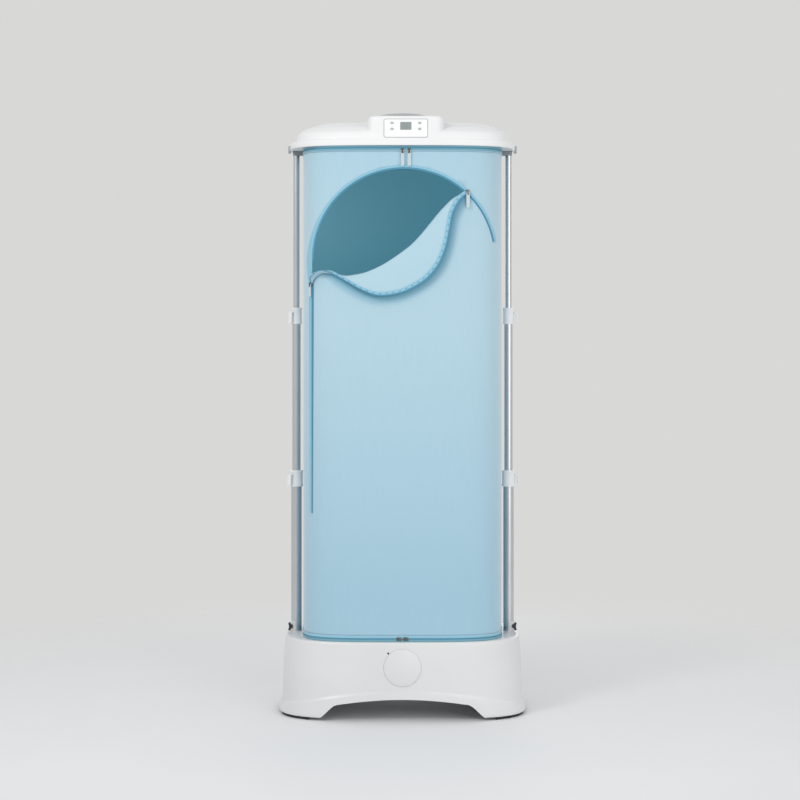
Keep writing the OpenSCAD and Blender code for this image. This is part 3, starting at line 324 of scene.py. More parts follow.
@dataclass(frozen=True)
class Finish:
    """What every finish shares: its colour, gloss and how much both vary."""

    name: str
    colour: Colour
    roughness: float = 0.4
    metallic: float = 0.0
    coat: float = 0.0
    specular: float = 0.5
    sheen: float = 0.0
    glow: Colour = (0, 0, 0)
    alpha: float = 1.0
    tone: float = 0.02
    relief: float = 0.00004
    gloss_range: float = 0.08

    def effect(self, graph: Graph) -> tuple[Socket, Socket]:
        """Adds the finish's own effect and returns its height and tone."""
        return graph.effect("moulded_grain", graph.place())

    def colour_of(self, graph: Graph, tone: Socket) -> Socket:
        """Mixes the colour's darker and lighter form by the tone and returns it."""
        return graph.mix(tone, *tinted(self.colour, self.tone))

    def material(self) -> bpy.types.Material:
        """Builds the material, or returns it where it was built before.

        Returns:
            The material.
        """
        name = f"finish_{self.name}"
        made = bpy.data.materials.get(name)
        if made:
            return made
        made = bpy.data.materials.new(name)
        made.use_nodes = True
        made.diffuse_color = linear(self.colour)
        graph = Graph(made.node_tree)
        shader = made.node_tree.nodes["Principled BSDF"].inputs
        height, tone = self.effect(graph)
        gloss = graph.ramp(tone, 0.0, 1.0, self.roughness * (1 - self.gloss_range),
                           min(1.0, self.roughness * (1 + self.gloss_range)))
        bump = graph.node("ShaderNodeBump",
                          {"Height": height, "Distance": self.relief, "Strength": 1.0})
        for socket, value in {"Base Color": self.colour_of(graph, tone), "Roughness": gloss,
                              "Normal": bump.outputs[0]}.items():
            graph.tree.links.new(value, shader[socket])
        for socket, value in {
                "Metallic": self.metallic, "Coat Weight": self.coat, "Alpha": self.alpha,
                "Specular IOR Level": self.specular, "Sheen Weight": self.sheen,
                "Emission Color": linear(self.glow),
                "Emission Strength": 1.0 if any(self.glow) else 0.0}.items():
            shader[socket].default_value = value
        return made


@dataclass(frozen=True)
class Moulded(Finish):
    """Moulded plastic or rubber."""


@dataclass(frozen=True)
class Drawn(Finish):
    """Drawn or brushed metal with lines along the height."""

    metallic: float = 1.0

    def effect(self, graph: Graph) -> tuple[Socket, Socket]:
        """Adds the drawn lines and returns their height and tone."""
        return graph.effect("drawn_lines", graph.place())


@dataclass(frozen=True)
class Woven(Finish):
    """Woven cloth or zip tape, on a UV map in metres."""

    roughness: float = 0.82
    sheen: float = 0.25
    tone: float = 0.012
    threads: float = 1100.0
    crease: float = 0.0004
    # Colour towards which painted shade darkens the cloth at both ends
    ends: Colour | None = None
    # Colour of the painted shadow that the flap casts on the cloth
    shade: Colour = (255, 255, 255)
    # Heights over which the painted end shade fades out at the bottom and in at the top, and its
    # strength at the top
    lower_shade_span: Point = (0.35, 1.05)
    upper_shade_span: Point = (1.30, 1.52)
    upper_shade_depth: float = 0.4

    def effect(self, graph: Graph) -> tuple[Socket, Socket]:
        """Adds the weave over the creases and returns their height and tone.

        Args:
            graph: The graph to draw in.

        Returns:
            The height and the tone.
        """
        height, tone, crease = graph.effect("plain_weave", graph.uv("cloth"),
                                            Threads=self.threads)
        crease = graph.math("MULTIPLY", crease, self.crease / self.relief)
        return graph.math("ADD", crease, height), tone

    def colour_of(self, graph: Graph, tone: Socket) -> Socket:
        """Adds painted shade that darkens the hung cloth towards both ends, and a painted shadow
        under its flap.

        Args:
            graph: The graph to draw in.
            tone: How light the cloth is at each place, 0 to 1.

        Returns:
            The colour.
        """
        colour = super().colour_of(graph, tone)
        if self.ends is None:
            return colour
        # Painted shadow under the flap, by the share in the shade UV map
        under = graph.split(graph.uv("shade"))[0]
        colour = graph.mix(under, colour, linear(self.shade), "MULTIPLY")
        # Painted shade, darkening the cloth towards its bottom and its top
        height = graph.split(graph.uv("cloth"))[1]
        share = graph.math("MAXIMUM", graph.ramp(height, *self.lower_shade_span, 1.0, 0.0),
                           graph.ramp(height, *self.upper_shade_span, 0.0, self.upper_shade_depth))
        return graph.mix(share, colour, linear(self.ends), "MULTIPLY")


@dataclass(frozen=True)
class Lcd(Finish):
    """Clear window over a grey display with a fine dot grid."""

    pitch: float = 0.0006

    def effect(self, graph: Graph) -> tuple[Socket, Socket]:
        """Adds the dot grid and returns it as height and tone.

        Args:
            graph: The graph to draw in.

        Returns:
            The height and the tone.
        """
        axes = graph.split(graph.place())
        grid = graph.math("MINIMUM", *[
            graph.math("ABSOLUTE", graph.sine(axes[i], math.pi / self.pitch)) for i in (0, 2)])
        return grid, graph.ramp(grid, 0.0, 0.35)


# Every finish by its name, which is also the record's material slot
FINISHES: dict[str, Finish] = {finish.name: finish for finish in (
    Moulded("base_white", (222, 222, 222), 0.38, coat=0.12),
    Moulded("top_white", (236, 236, 236), 0.5, coat=0.03, specular=0.35),
    Moulded("clamp_white", (236, 236, 236), 0.36),
    Moulded("panel_white", (246, 246, 246), 0.28, coat=0.2, relief=0.00002),
    Moulded("inner_grey", (176, 179, 182), 0.55),
    Moulded("vent_grey", (176, 176, 178), 0.5),
    Moulded("socket_grey", (138, 142, 145), 0.5),
    Moulded("button_grey", (184, 186, 188), 0.45),
    Lcd("display_grey", (142, 148, 148), 0.16, coat=0.6, tone=0.06, relief=0.00001),
    Moulded("dark_plastic", (38, 40, 43), 0.5, relief=0.00008),
    Moulded("board_green", (38, 92, 62), 0.45),
    Moulded("sole_rubber", (42, 43, 46), 0.78, relief=0.0002),
    Drawn("tube_aluminium", (205, 207, 210), 0.3, relief=0.00003),
    Drawn("heater_metal", (150, 145, 138), 0.45),
    Drawn("motor_steel", (120, 122, 126), 0.38),
    Drawn("bolt_steel", (92, 94, 98), 0.34, relief=0.00002),
    Drawn("zip_metal", (108, 108, 106), 0.28, relief=0.00002),
    Moulded("pull_white", (214, 226, 232), 0.3, alpha=0.72),
    # Cover cloth: painted shade towards both ends and a painted shadow under the flap
    Woven("cover_blue", (177, 208, 221), ends=(231, 241, 247), shade=(130, 200, 218), sheen=0.55),
    # Inside of the cloth: a darker blue as painted shade, with a painted glow for light coming
    # through the cloth
    Woven("inside_blue", (124, 163, 173), glow=(53, 94, 106)),
    Woven("flap_blue", (178, 209, 222)),
    Woven("band_teal", (116, 166, 182), threads=900.0, crease=0.0002),
    Woven("tape_blue", (142, 195, 215), threads=900.0, crease=0.0003),
    Woven("coil_teal", (82, 150, 180), threads=700.0, crease=0.0002),
    Moulded("thread_blue", (92, 148, 184), 0.7))}


# ---------------------------------------------------------------- mesh helpers


def link(name: str, data: bpy.types.ID) -> Obj:
    """Makes an object of its data and links it to the scene.

    Args:
        name: The object's name.
        data: Its mesh, lamp or camera.

    Returns:
        The object.
    """
    made = bpy.data.objects.new(name, data)
    bpy.context.collection.objects.link(made)
    return made


def shade(mesh: bpy.types.Mesh, sharp: float) -> None:
    """Shades a mesh smooth, but for edges above an angle in degrees."""
    mesh.shade_smooth()
    mesh.set_sharp_from_angle(angle=math.radians(sharp))


def add_uv(mesh: bpy.types.Mesh, name: str, places: Array) -> None:
    """Adds a UV map from the place of each point.

    Args:
        mesh: The mesh.
        name: The map's name.
        places: Place of each point on the map.
    """
    layer = mesh.uv_layers.new(name=name)
    corners = np.zeros(len(mesh.loops), dtype=np.int32)
    mesh.loops.foreach_get("vertex_index", corners)
    layer.data.foreach_set("uv", np.asarray(places, dtype=np.float32)[corners].ravel())


def make_object(name: str, points: Array, faces: list, uvs: Array | None = None,
                sharp: float = 40.0) -> Obj:
    """Makes a smooth shaded mesh object.

    Args:
        name: The object's name.
        points: Its points, one row each.
        faces: Lists of point numbers.
        uvs: Place of each point on the cloth in metres, if it is cloth.
        sharp: Angle in degrees above which an edge stays sharp.

    Returns:
        The new object, linked to the scene.
    """
    mesh = bpy.data.meshes.new(name)
    mesh.from_pydata([tuple(p) for p in points], [], [tuple(int(i) for i in f) for f in faces])
    if uvs is not None:
        add_uv(mesh, "cloth", uvs)
    mesh.validate()
    shade(mesh, sharp)
    return link(name, mesh)


def bake(obj: Obj, sharp: float | None = None) -> Obj:
    """Turns an object's modifiers into its plain mesh.

    Args:
        obj: The object.
        sharp: Angle in degrees above which an edge is marked sharp, if any.

    Returns:
        The same object.
    """
    bpy.context.view_layer.update()
    shown = obj.evaluated_get(bpy.context.evaluated_depsgraph_get())
    mesh = bpy.data.meshes.new_from_object(shown)
    obj.modifiers.clear()
    obj.data = mesh
    if sharp is not None:
        shade(mesh, sharp)
    return obj


def modify(obj: Obj, kind: str, **settings: object) -> Obj:
    """Changes an object's mesh by one modifier and returns the object.

    Args:
        obj: The object.
        kind: The modifier's type.
        settings: Its settings.

    Returns:
        The same object.
    """
    modifier = obj.modifiers.new(kind.lower(), kind)
    for name, value in settings.items():
        setattr(modifier, name, value)
    return bake(obj)


def weld(obj: Obj, distance: float = WELD) -> Obj:
    """Merges an object's doubled points and returns it."""
    return modify(obj, "WELD", merge_threshold=distance)


def thicken(obj: Obj, thickness: float, inner: int = 0) -> Obj:
    """Gives a surface a wall to its inner side.

    Args:
        obj: The surface.
        thickness: The wall's thickness.
        inner: How many material slots further the inner side's material is.

    Returns:
        The same object.
    """
    return modify(obj, "SOLIDIFY", thickness=thickness, offset=-1.0, material_offset=inner,
                  use_even_offset=False)


def carve(obj: Obj, tool: Obj) -> Obj:
    """Cuts a closed tool out of an object, removes the tool, and returns the object.

    Args:
        obj: The object.
        tool: The closed tool.

    Returns:
        The same object.
    """
    modify(obj, "BOOLEAN", operation="DIFFERENCE", solver="EXACT", object=tool)
    bpy.data.objects.remove(tool)
    return obj


def join(name: str, parts: list[Obj]) -> Obj:
    """Joins objects at the origin into one mesh, each part keeping its materials.

    Args:
        name: The joined object's name.
        parts: The objects.

    Returns:
        The joined object.
    """
    with bpy.context.temp_override(active_object=parts[0], selected_editable_objects=parts,
                                   selected_objects=parts):
        bpy.ops.object.join()
    parts[0].name = name
    parts[0].data.name = name
    return parts[0]


def finished(obj: Obj, *names: str) -> Obj:
    """Gives a new object the materials of the named finishes and returns it.

    Args:
        obj: The object.
        names: The finishes, one for each material slot.

    Returns:
        The same object.
    """
    obj.data.materials.clear()
    for name in names:
        obj.data.materials.append(FINISHES[name].material())
    return obj


def mount(obj: Obj, body: Body | str, slot: str, *nodes: str) -> Obj:
    """Sets a finished piece on its body.

    Args:
        obj: The piece, in place.
        body: The body that it rides on.
        slot: The record's material slot; not used.
        nodes: CAD nodes that it stands for.

    Returns:
        The same piece.
    """
    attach(obj, body.value if isinstance(body, Body) else body)
    if nodes:
        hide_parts(*nodes)
    log.info("piece %s: %d faces", obj.name, len(obj.data.polygons))
    return obj


# ---------------------------------------------------------------- lines and outlines


def run_of(steps: Array) -> Array:
    """Way to each point of a line from the steps between them."""
    return np.concatenate([[0], np.cumsum(steps)])


def run_along(points: Array) -> Array:
    """Way along a line to each of its points."""
    return run_of(np.linalg.norm(np.diff(points, axis=0), axis=1))


def sample(at: Array, run: Array, points: Array) -> Array:
    """Points of a line at ways along it, where run is the way to each given point."""
    return np.column_stack([np.interp(at, run, column) for column in points.T])


def bisect(low: Array, high: Array, test: Callable[[Array], Array],
           steps: int) -> tuple[Array, Array]:
    """Narrows down the values at which a test that holds for low ones stops to hold.

    Args:
        low: Values at which the test holds.
        high: Values at which it fails.
        test: Tells for each value whether it holds.
        steps: How often the gap between both is halved.

    Returns:
        The highest values at which it holds, and the lowest at which it fails.
    """
    for _ in range(steps):
        middle = (low + high) / 2
        held = test(middle)
        low, high = np.where(held, middle, low), np.where(held, high, middle)
    return low, high


def circle(radius: float, centre: Point = (0.0, 0.0), steps: int = 72) -> Array:
    """Corners of a circle, anticlockwise."""
    turn = np.arange(steps) * 2 * math.pi / steps
    return np.column_stack([centre[0] + radius * np.cos(turn), centre[1] + radius * np.sin(turn)])


def rounded_outline(w: float, h: float, r: float, steps: int = 8) -> Array:
    """Outline of a rounded rectangle round the origin, anticlockwise.

    Args:
        w: Width.
        h: Height.
        r: Radius of the corners.
        steps: Steps round each corner.

    Returns:
        The points, one row each.
    """
    outline = []
    for corner, (sx, sy) in enumerate(((1, 1), (-1, 1), (-1, -1), (1, -1))):
        for i in range(steps + 1):
            angle = math.radians(90 * corner + 90 * i / steps)
            outline.append((sx * (w / 2 - r) + r * math.cos(angle),
                            sy * (h / 2 - r) + r * math.sin(angle)))
    return np.array(outline)


def superellipse(a: float, b: float, power: float, angles: Array) -> tuple[Array, Array]:
    """Points of a superellipse.

    Args:
        a: Half its size in x.
        b: Half its size in y.
        power: Its power, 2 for an ellipse.
        angles: The parameter's angles in radians.

    Returns:
        The points' x and y.
    """
    c, s = np.cos(angles), np.sin(angles)
    return (a * np.sign(c) * np.abs(c) ** (2 / power), b * np.sign(s) * np.abs(s) ** (2 / power))


def even_angles(a: float, b: float, power: float, count: int) -> Array:
    """Angles at which points of a superellipse are evenly spaced.

    Args:
        a: Half its size in x.
        b: Half its size in y.
        power: Its power, 2 for an ellipse.
        count: How many points.

    Returns:
        The angles in radians.
    """
    dense = np.linspace(0, 2 * math.pi, PLAN_STEPS)
    x, y = superellipse(a, b, power, dense)
    run = run_of(np.hypot(np.diff(x), np.diff(y)))
    return np.interp(np.arange(count) * run[-1] / count, run, dense)


def soft_curve(points: tuple[tuple[float, ...], ...], count: int) -> Array:
    """Smooth curve through points, as evenly spaced points, one row each.

    Args:
        points: Points on the way.
        count: How many points to give back.

    Returns:
        The curve's points, one row each.
    """
    p = np.array(points, float)
    knots = np.vstack([2 * p[0] - p[1], p, 2 * p[-1] - p[-2]])
    t = np.linspace(0, 1, 24, endpoint=False)[:, None]
    parts = [0.5 * (2 * b + (c - a) * t + (2 * a - 5 * b + 4 * c - d) * t ** 2
                    + (3 * b - a - 3 * c + d) * t ** 3)
             for a, b, c, d in zip(knots, knots[1:], knots[2:], knots[3:])]
    dense = np.vstack(parts + [p[-1:]])
    run = run_along(dense)
    return sample(np.linspace(0, run[-1], count), run, dense)


def border(xs: Array, ys: Array) -> Array:
    """Points round the edge of a grid, anticlockwise."""
    return np.vstack([[(x, ys[0]) for x in xs[:-1]], [(xs[-1], y) for y in ys[:-1]],
                      [(x, ys[-1]) for x in xs[:0:-1]], [(xs[0], y) for y in ys[:0:-1]]])


def lattice(xs: Array, ys: Array) -> Array:
    """All points of a grid, one x after the other."""
    return np.column_stack([axis.ravel() for axis in np.meshgrid(xs, ys, indexing="ij")])


def level(x: Array, y: Array, z: float) -> Array:
    """Points at one height."""
    return np.column_stack([x, y, np.full(len(x), z)])


# ---------------------------------------------------------------- surfaces


def grid_faces(rows: int, columns: int, ring: bool = False, start: int = 0) -> list[list[int]]:
    """Faces of a grid of points.

    Args:
        rows: Rows of points.
        columns: Points in a row.
        ring: Whether each row is a ring, with the faces' right-hand side outwards.
        start: Number of the first point.

    Returns:
        Each face's point numbers.
    """
    faces = []
    for i in range(rows - 1):
        for j in range(columns if ring else columns - 1):
            a = start + i * columns + j
            b = start + i * columns + (j + 1) % columns
            faces.append([a, b, b + columns, a + columns] if ring
                         else [a, a + columns, b + columns, b])
    return faces


def sweep(name: str, columns: list[Array], closed: bool = False, sharp: float = 50.0) -> Obj:
    """Surface through columns of points, with UVs in metres.

    Args:
        name: The object's name.
        columns: The points of each column.
        closed: Whether the columns' last points join their first ones.
        sharp: Angle in degrees above which an edge stays sharp.

    Returns:
        The surface, its faces' right-hand side towards row x column.
    """
    rows = np.transpose(np.array(columns), (1, 0, 2))
    if closed:
        rows = np.concatenate([rows, rows[:1]])
    m, n = rows.shape[:2]
    along, across = run_along(rows[:, n // 2]), run_along(rows[m // 2])
    uvs = np.array([(u, v) for u in along for v in across])
    return make_object(name, rows.reshape(-1, 3), grid_faces(m, n), uvs, sharp)


def hoop(name: str, plan: Triple, profile: list[Point], count: int) -> Obj:
    """Ring with a closed profile.

    Args:
        name: The ring's name.
        plan: The plan's half sizes in x and y, and its power.
        profile: Distance out of the plan and height of each corner, anticlockwise.
        count: Points round the ring.

    Returns:
        The ring.
    """
    a, b, power = plan
    angles = even_angles(a, b, power, count)
    return weld(sweep(name, [level(*superellipse(a + out, b + out, power, angles), z)
                             for out, z in profile + profile[:1]], closed=True))


def front_block(outline: Array, centre: Triple, depth: float) -> Obj:
    """Closed block from an outline in x and z, from a front plane backwards.

    Args:
        outline: Points round the centre in x and z.
        centre: The outline's centre, with y of the front plane.
        depth: How far the block goes back, along +y.

    Returns:
        The block.
    """
    n = len(outline)
    points = [(centre[0] + x, centre[1] + d, centre[2] + z)
              for d in (0.0, depth) for x, z in outline]
    faces = [list(range(n)), list(range(2 * n - 1, n - 1, -1))]
    faces += [[i, i + n, (i + 1) % n + n, (i + 1) % n] for i in range(n)]
    return make_object("cutter", np.array(points), faces)


def inside(points: Array, outline: Array) -> Array:
    """Tells which points lie inside an outline.

    Args:
        points: Places, one row each.
        outline: The outline's corners, one row each.

    Returns:
        One truth value for each point.
    """
    found = np.zeros(len(points), bool)
    for (x0, y0), (x1, y1) in zip(outline, np.roll(outline, -1, axis=0)):
        if y0 == y1:
            continue
        crosses = (points[:, 1] < y0) != (points[:, 1] < y1)
        found ^= crosses & (points[:, 0] < x0 + (points[:, 1] - y0) * (x1 - x0) / (y1 - y0))
    return found


def distance_to(points: Array, line: Array) -> Array:
    """Distance of each point to the nearest of a line's points.

    Args:
        points: Places, one row each.
        line: The line's points.

    Returns:
        One distance for each place.
    """
    nearest = np.full(len(points), np.inf)
    for x, y in line:
        nearest = np.minimum(nearest, np.hypot(points[:, 0] - x, points[:, 1] - y))
    return nearest


def flat_region(outline: Array, holes: list[Array],
                filling: Array | None = None) -> tuple[Array, list[list[int]]]:
    """Triangulates a flat region with holes.

    Args:
        outline: Its outer corners.
        holes: The outlines of its holes.
        filling: Points in it.

    Returns:
        The points and the triangles, anticlockwise.
    """
    corners, edges = [], []
    for loop in (outline, *holes):
        start, n = len(corners), len(loop)
        corners += [Vector(p) for p in loop.tolist()]
        edges += [(start + i, start + (i + 1) % n) for i in range(n)]
    if filling is not None:
        corners += [Vector(p) for p in filling.tolist()]
    found = delaunay_2d_cdt(corners, edges, [], 0, 1e-7)
    points = np.array([tuple(v) for v in found[0]])
    faces = np.array([list(f) for f in found[2]])
    middles = points[faces].mean(axis=1)
    keep = inside(middles, outline)
    for hole in holes:
        keep &= ~inside(middles, hole)
    faces = faces[keep]
    a, b, c = (points[faces[:, k]] for k in range(3))
    area = (b[:, 0] - a[:, 0]) * (c[:, 1] - a[:, 1]) - (c[:, 0] - a[:, 0]) * (b[:, 1] - a[:, 1])
    faces[area < 0] = faces[area < 0][:, ::-1]
    return points, [list(f) for f in faces]


# ---------------------------------------------------------------- rows of small parts


@dataclass(frozen=True)
class BeadRow:
    """Small parts that Geometry Nodes set along a line, such as stitches or teeth."""

    bead: Bead
    pitch: float
    size: Triple
    finish: str

    def tree(self) -> Tree:
        """Builds the tree for this shape of part, or returns it where it was built before.

        Returns:
            The tree, whose inputs are the line, a part's size and its material.
        """
        name = f"row_of_{self.bead.value}"
        tree = bpy.data.node_groups.get(name)
        if tree:
            return tree
        tree = bpy.data.node_groups.new(name, "GeometryNodeTree")
        add_sockets(tree, "INPUT", {"Line": "Geometry", "Length": "Float", "Width": "Float",
                                    "Height": "Float", "Finish": "Material"})
        add_sockets(tree, "OUTPUT", {"Row": "Geometry"})
        graph = Graph(tree)
        given = tree.nodes.new("NodeGroupInput").outputs
        sizes = graph.node("ShaderNodeCombineXYZ", {
            0: given["Length"], 1: given["Width"], 2: given["Height"]}).outputs[0]
        if self.bead is Bead.STITCH:
            part = graph.node("GeometryNodeMeshIcoSphere", {"Radius": 0.5, "Subdivisions": 2})
        else:
            part = graph.node("GeometryNodeMeshCube", {"Size": (1.0, 1.0, 1.0)})
        along, out = (graph.node("GeometryNodeInputNamedAttribute", {"Name": label},
                                 data_type="FLOAT_VECTOR").outputs[0] for label in ("along", "out"))
        turn = graph.node("FunctionNodeAxesToRotation",
                          {"Primary Axis": out, "Secondary Axis": along},
                          primary_axis="Z", secondary_axis="X").outputs[0]
        points = graph.node("GeometryNodeMeshToPoints", {"Mesh": given["Line"]}).outputs[0]
        placed = graph.node("GeometryNodeInstanceOnPoints", {
            "Points": points, "Instance": part.outputs[0], "Rotation": turn,
            "Scale": sizes}).outputs[0]
        real = graph.node("GeometryNodeRealizeInstances", {0: placed}).outputs[0]
        soft = graph.node("GeometryNodeSetShadeSmooth", {
            "Geometry": real, "Shade Smooth": self.bead is Bead.STITCH}).outputs[0]
        painted = graph.node("GeometryNodeSetMaterial",
                             {"Geometry": soft, "Material": given["Finish"]}).outputs[0]
        graph.node("NodeGroupOutput", {0: painted})
        return tree

    def along(self, name: str, line: Array, out: Array) -> Obj:
        """Sets parts along a line.

        Args:
            name: The new object's name.
            line: The line's points, one row each.
            out: Direction away from the surface at each point.

        Returns:
            The row as a plain mesh.
        """
        run = run_along(line)
        at = np.arange(self.pitch / 2, run[-1], self.pitch)
        places, ahead = sample(at, run, line), sample(at + self.pitch / 4, run, line)
        mesh = bpy.data.meshes.new(name)
        mesh.from_pydata([tuple(p) for p in places], [], [])
        for label, rows in (("along", ahead - places), ("out", sample(at, run, out))):
            attribute = mesh.attributes.new(label, "FLOAT_VECTOR", "POINT")
            attribute.data.foreach_set("vector", np.asarray(rows, dtype=np.float32).ravel())
        made = link(name, mesh)
        modifier = made.modifiers.new("row", "NODES")
        modifier.node_group = self.tree()
        values = dict(zip(("Length", "Width", "Height"), self.size),
                      Finish=FINISHES[self.finish].material())
        for item in modifier.node_group.interface.items_tree:
            if item.in_out == "INPUT" and item.name in values:
                modifier[item.identifier] = values[item.name]
        bake(made)
        if not made.data.uv_layers:
            made.data.uv_layers.new(name="cloth")
        made.data.uv_layers[0].name = "cloth"
        return made


DOOR_TEETH = BeadRow(Bead.TOOTH, 0.0021, (0.0013, 0.0030, 0.0014), "coil_teal")
FLAP_TEETH = BeadRow(Bead.TOOTH, 0.0022, (0.0014, 0.0026, 0.0016), "coil_teal")
BAND_TEETH = BeadRow(Bead.TOOTH, 0.0034, (0.0018, 0.0026, 0.0014), "coil_teal")
DOOR_SEAM = BeadRow(Bead.STITCH, 0.0046, (0.0032, 0.0007, 0.0005), "thread_blue")
FLAP_SEAM = BeadRow(Bead.STITCH, 0.0180, (0.0072, 0.0024, 0.0010), "thread_blue")


# ---------------------------------------------------------------- base


@dataclass
class BlowerBase:
    """Moulded base with a bowed skirt, a crease round it, and the fan's outlet on top.

    Pairs of tuples give a measure at heights: first the heights, then the measures. The
    crease fades by where it starts, over which width and with which power.
    """

    half_w: float = 0.3205
    half_d: float = 0.216
    lean_w: float = 0.021
    lean_d: float = 0.004
    lean_power: float = 0.8
    wall: float = 0.003
    foot: float = 0.008
    foot_in: tuple = ((0.008, 0.013), (0.0015, 0.0))
    crease: tuple = ((0.076, 0.083, 0.130, 0.180), (0.0, 0.0035, 0.00175, 0.0))
    gentle_crease: tuple = ((0.030, 0.083, 0.130, 0.180), (0.0, 0.0035, 0.00175, 0.0))
    crease_soft: float = 0.0014
    crease_samples: int = 7
    crease_fade: Triple = (0.12, 0.5, 0.8)
    dips: tuple = ((0.012, 0.076, 0.083, 0.190), (0.0, 0.048, 0.048, 0.0))
    edge: float = 0.007
    edge_steps: int = 8
    arch_half: float = 0.240
    arch_shoulder: float = 0.170
    arch_height: float = 0.059
    arch_sag: float = 0.014
    arch_limit: float = 0.0735
    skirt_top: float = 0.073
    skirt_rows: int = 17
    crease_lines: Triple = (0.074, 0.0865, 0.001)
    wall_low: float = 0.089
    wall_rows: int = 24
    outlet: Triple = (0.3166, 0.1866, 0.0323)
    outlet_steps: int = 12
    socket_r: float = 0.01685
    badge_hole_r: float = 0.0509
    badge_steps: int = 120
    badge_z: float = 0.144
    lamp: Point = (-0.038, 0.183)
    lamp_r: float = 0.0028
    lamp_steps: int = 24
    cutter_y: float = -0.230
    cutter_depth: float = 0.026
    inlet: Triple = (0.150, 0.196, 0.120)
    inlet_size: Triple = (0.0286, 0.0226, 0.0035)
    inlet_depth: float = 0.030
    halvings: int = 30
    sharp: float = 32.0

    def lean(self, z: Array) -> Array:
        """How far the skirt leans out at a height, as a share."""
        return (1 - np.asarray(z) / BASE_TOP) ** self.lean_power

    def margin(self, z: Array, cx: Array) -> Array:
        """How far the crease, which fades towards the front's middle, and the foot stand in.

        Args:
            z: Level of each point.
            cx: The plan's x there, -1 to 1.

        Returns:
            How far each point stands in.
        """
        near = np.linspace(-self.crease_soft, self.crease_soft, self.crease_samples)
        crease = np.mean([np.interp(z + d, *self.crease) for d in near], axis=0)
        start, width, power = self.crease_fade
        crisp = np.clip((np.abs(cx) - start) / width, 0, 1) ** power
        return (np.interp(z, *self.foot_in) + crease * crisp
                + np.interp(z, *self.gentle_crease) * (1 - crisp))

    def arch(self, x: Array) -> Array:
        """Height of the opening under the skirt at x.

        Args:
            x: Places across the front.

        Returns:
            The height at each place.
        """
        reach, low = np.abs(x), self.arch_height - self.arch_sag
        bow = self.arch_height - self.arch_sag * (reach / self.arch_shoulder) ** 2
        share = np.clip((reach - self.arch_shoulder) / (self.arch_half - self.arch_shoulder), 0, 1)
        return np.where(reach < self.arch_shoulder, bow, low * (1 + np.cos(math.pi * share)) / 2)

    def skin(self, z: Array, cx: Array, cy: Array) -> Array:
        """Points of the outside.

        Args:
            z: Level of each point before its dip.
            cx: The plan's x at each point, -1 to 1.
            cy: The plan's y at each point, -1 to 1.

        Returns:
            The points, with the coordinates last.
        """
        inset = self.margin(z, cx)
        a = self.half_w + self.lean_w * self.lean(z) - inset
        b = self.half_d + self.lean_d * self.lean(z) - inset
        return np.stack([a * cx, b * cy, z - np.interp(z, *self.dips) * cx ** 2], axis=-1)

    def skirt(self, angles: Array) -> Array:
        """Points of the skirt and its rounded top edge, from the arch upwards.

        Args:
            angles: Angles of the plan's points.

        Returns:
            The points, as an array of levels, columns and 3.
        """
        n = len(angles)
        cx, cy = superellipse(1.0, 1.0, SHELL_POWER, angles)

        def is_open(z: Array) -> Array:
            """Tells where the arch leaves no skirt."""
            p = self.skin(z, cx, cy)
            return p[:, 2] < self.arch(p[:, 0])

        foot = np.full(n, self.foot)
        above = bisect(foot, np.full(n, self.arch_limit), is_open, self.halvings)[1]
        reach = self.skin(foot, cx, cy)
        start = np.where(self.foot < self.arch(reach[:, 0]), above, self.foot)
        levels = [start + (self.skirt_top - start) * t
                  for t in np.linspace(0, 1, self.skirt_rows)]
        levels += [np.full(n, z) for z in (
            *np.arange(*self.crease_lines),
            *np.linspace(self.wall_low, BASE_TOP - self.edge, self.wall_rows))]
        grid = [self.skin(z, cx, cy) for z in levels]
        last = grid[-1]
        for turn in np.radians(np.linspace(90 / self.edge_steps, 90, self.edge_steps)):
            inset, rise = self.edge * (1 - math.cos(turn)), self.edge * math.sin(turn)
            a, b = abs(last[0, 0]) - inset, np.abs(last[:, 1]).max() - inset
            grid.append(level(*superellipse(a, b, SHELL_POWER, angles), last[0, 2] + rise))
        return np.array(grid)

    def shell(self) -> Obj:
        """Builds the outer shell with its openings.

        Returns:
            The shell.
        """
        skirt = self.skirt(even_angles(self.half_w, self.half_d, SHELL_POWER, SHELL_COLUMNS))
        m, n = skirt.shape[:2]
        rim = skirt[-1]
        holes = [rounded_outline(*self.outlet, self.outlet_steps),
                 *[circle(self.socket_r, (x, 0)) for x in (MAST_X, -MAST_X)]]
        flat, top = flat_region(rim[:, :2], holes)
        faces = grid_faces(m, n, ring=True) + [[i + m * n for i in f] for f in top]
        points = np.vstack([skirt.reshape(-1, 3), level(*flat.T, rim[0, 2])])
        made = thicken(weld(make_object("base_casing", points, faces)), self.wall)
        y, deep = self.cutter_y, self.cutter_depth
        badge = circle(self.badge_hole_r, steps=self.badge_steps)
        lamp = circle(self.lamp_r, steps=self.lamp_steps)
        tools = [front_block(badge, (0.0, y, self.badge_z), deep),
                 front_block(lamp, (self.lamp[0], y, self.lamp[1]), deep),
                 front_block(rounded_outline(*self.inlet_size), self.inlet, self.inlet_depth)]
        return finished(bake(carve(made, join("cutter", tools)), self.sharp), "base_white")

    def build(self) -> list[Obj]:
        """Builds the base's own pieces and mounts them."""
        return [mount(self.shell(), Body.FRAME, "base_white", "base_shell")]


# ---------------------------------------------------------------- lid


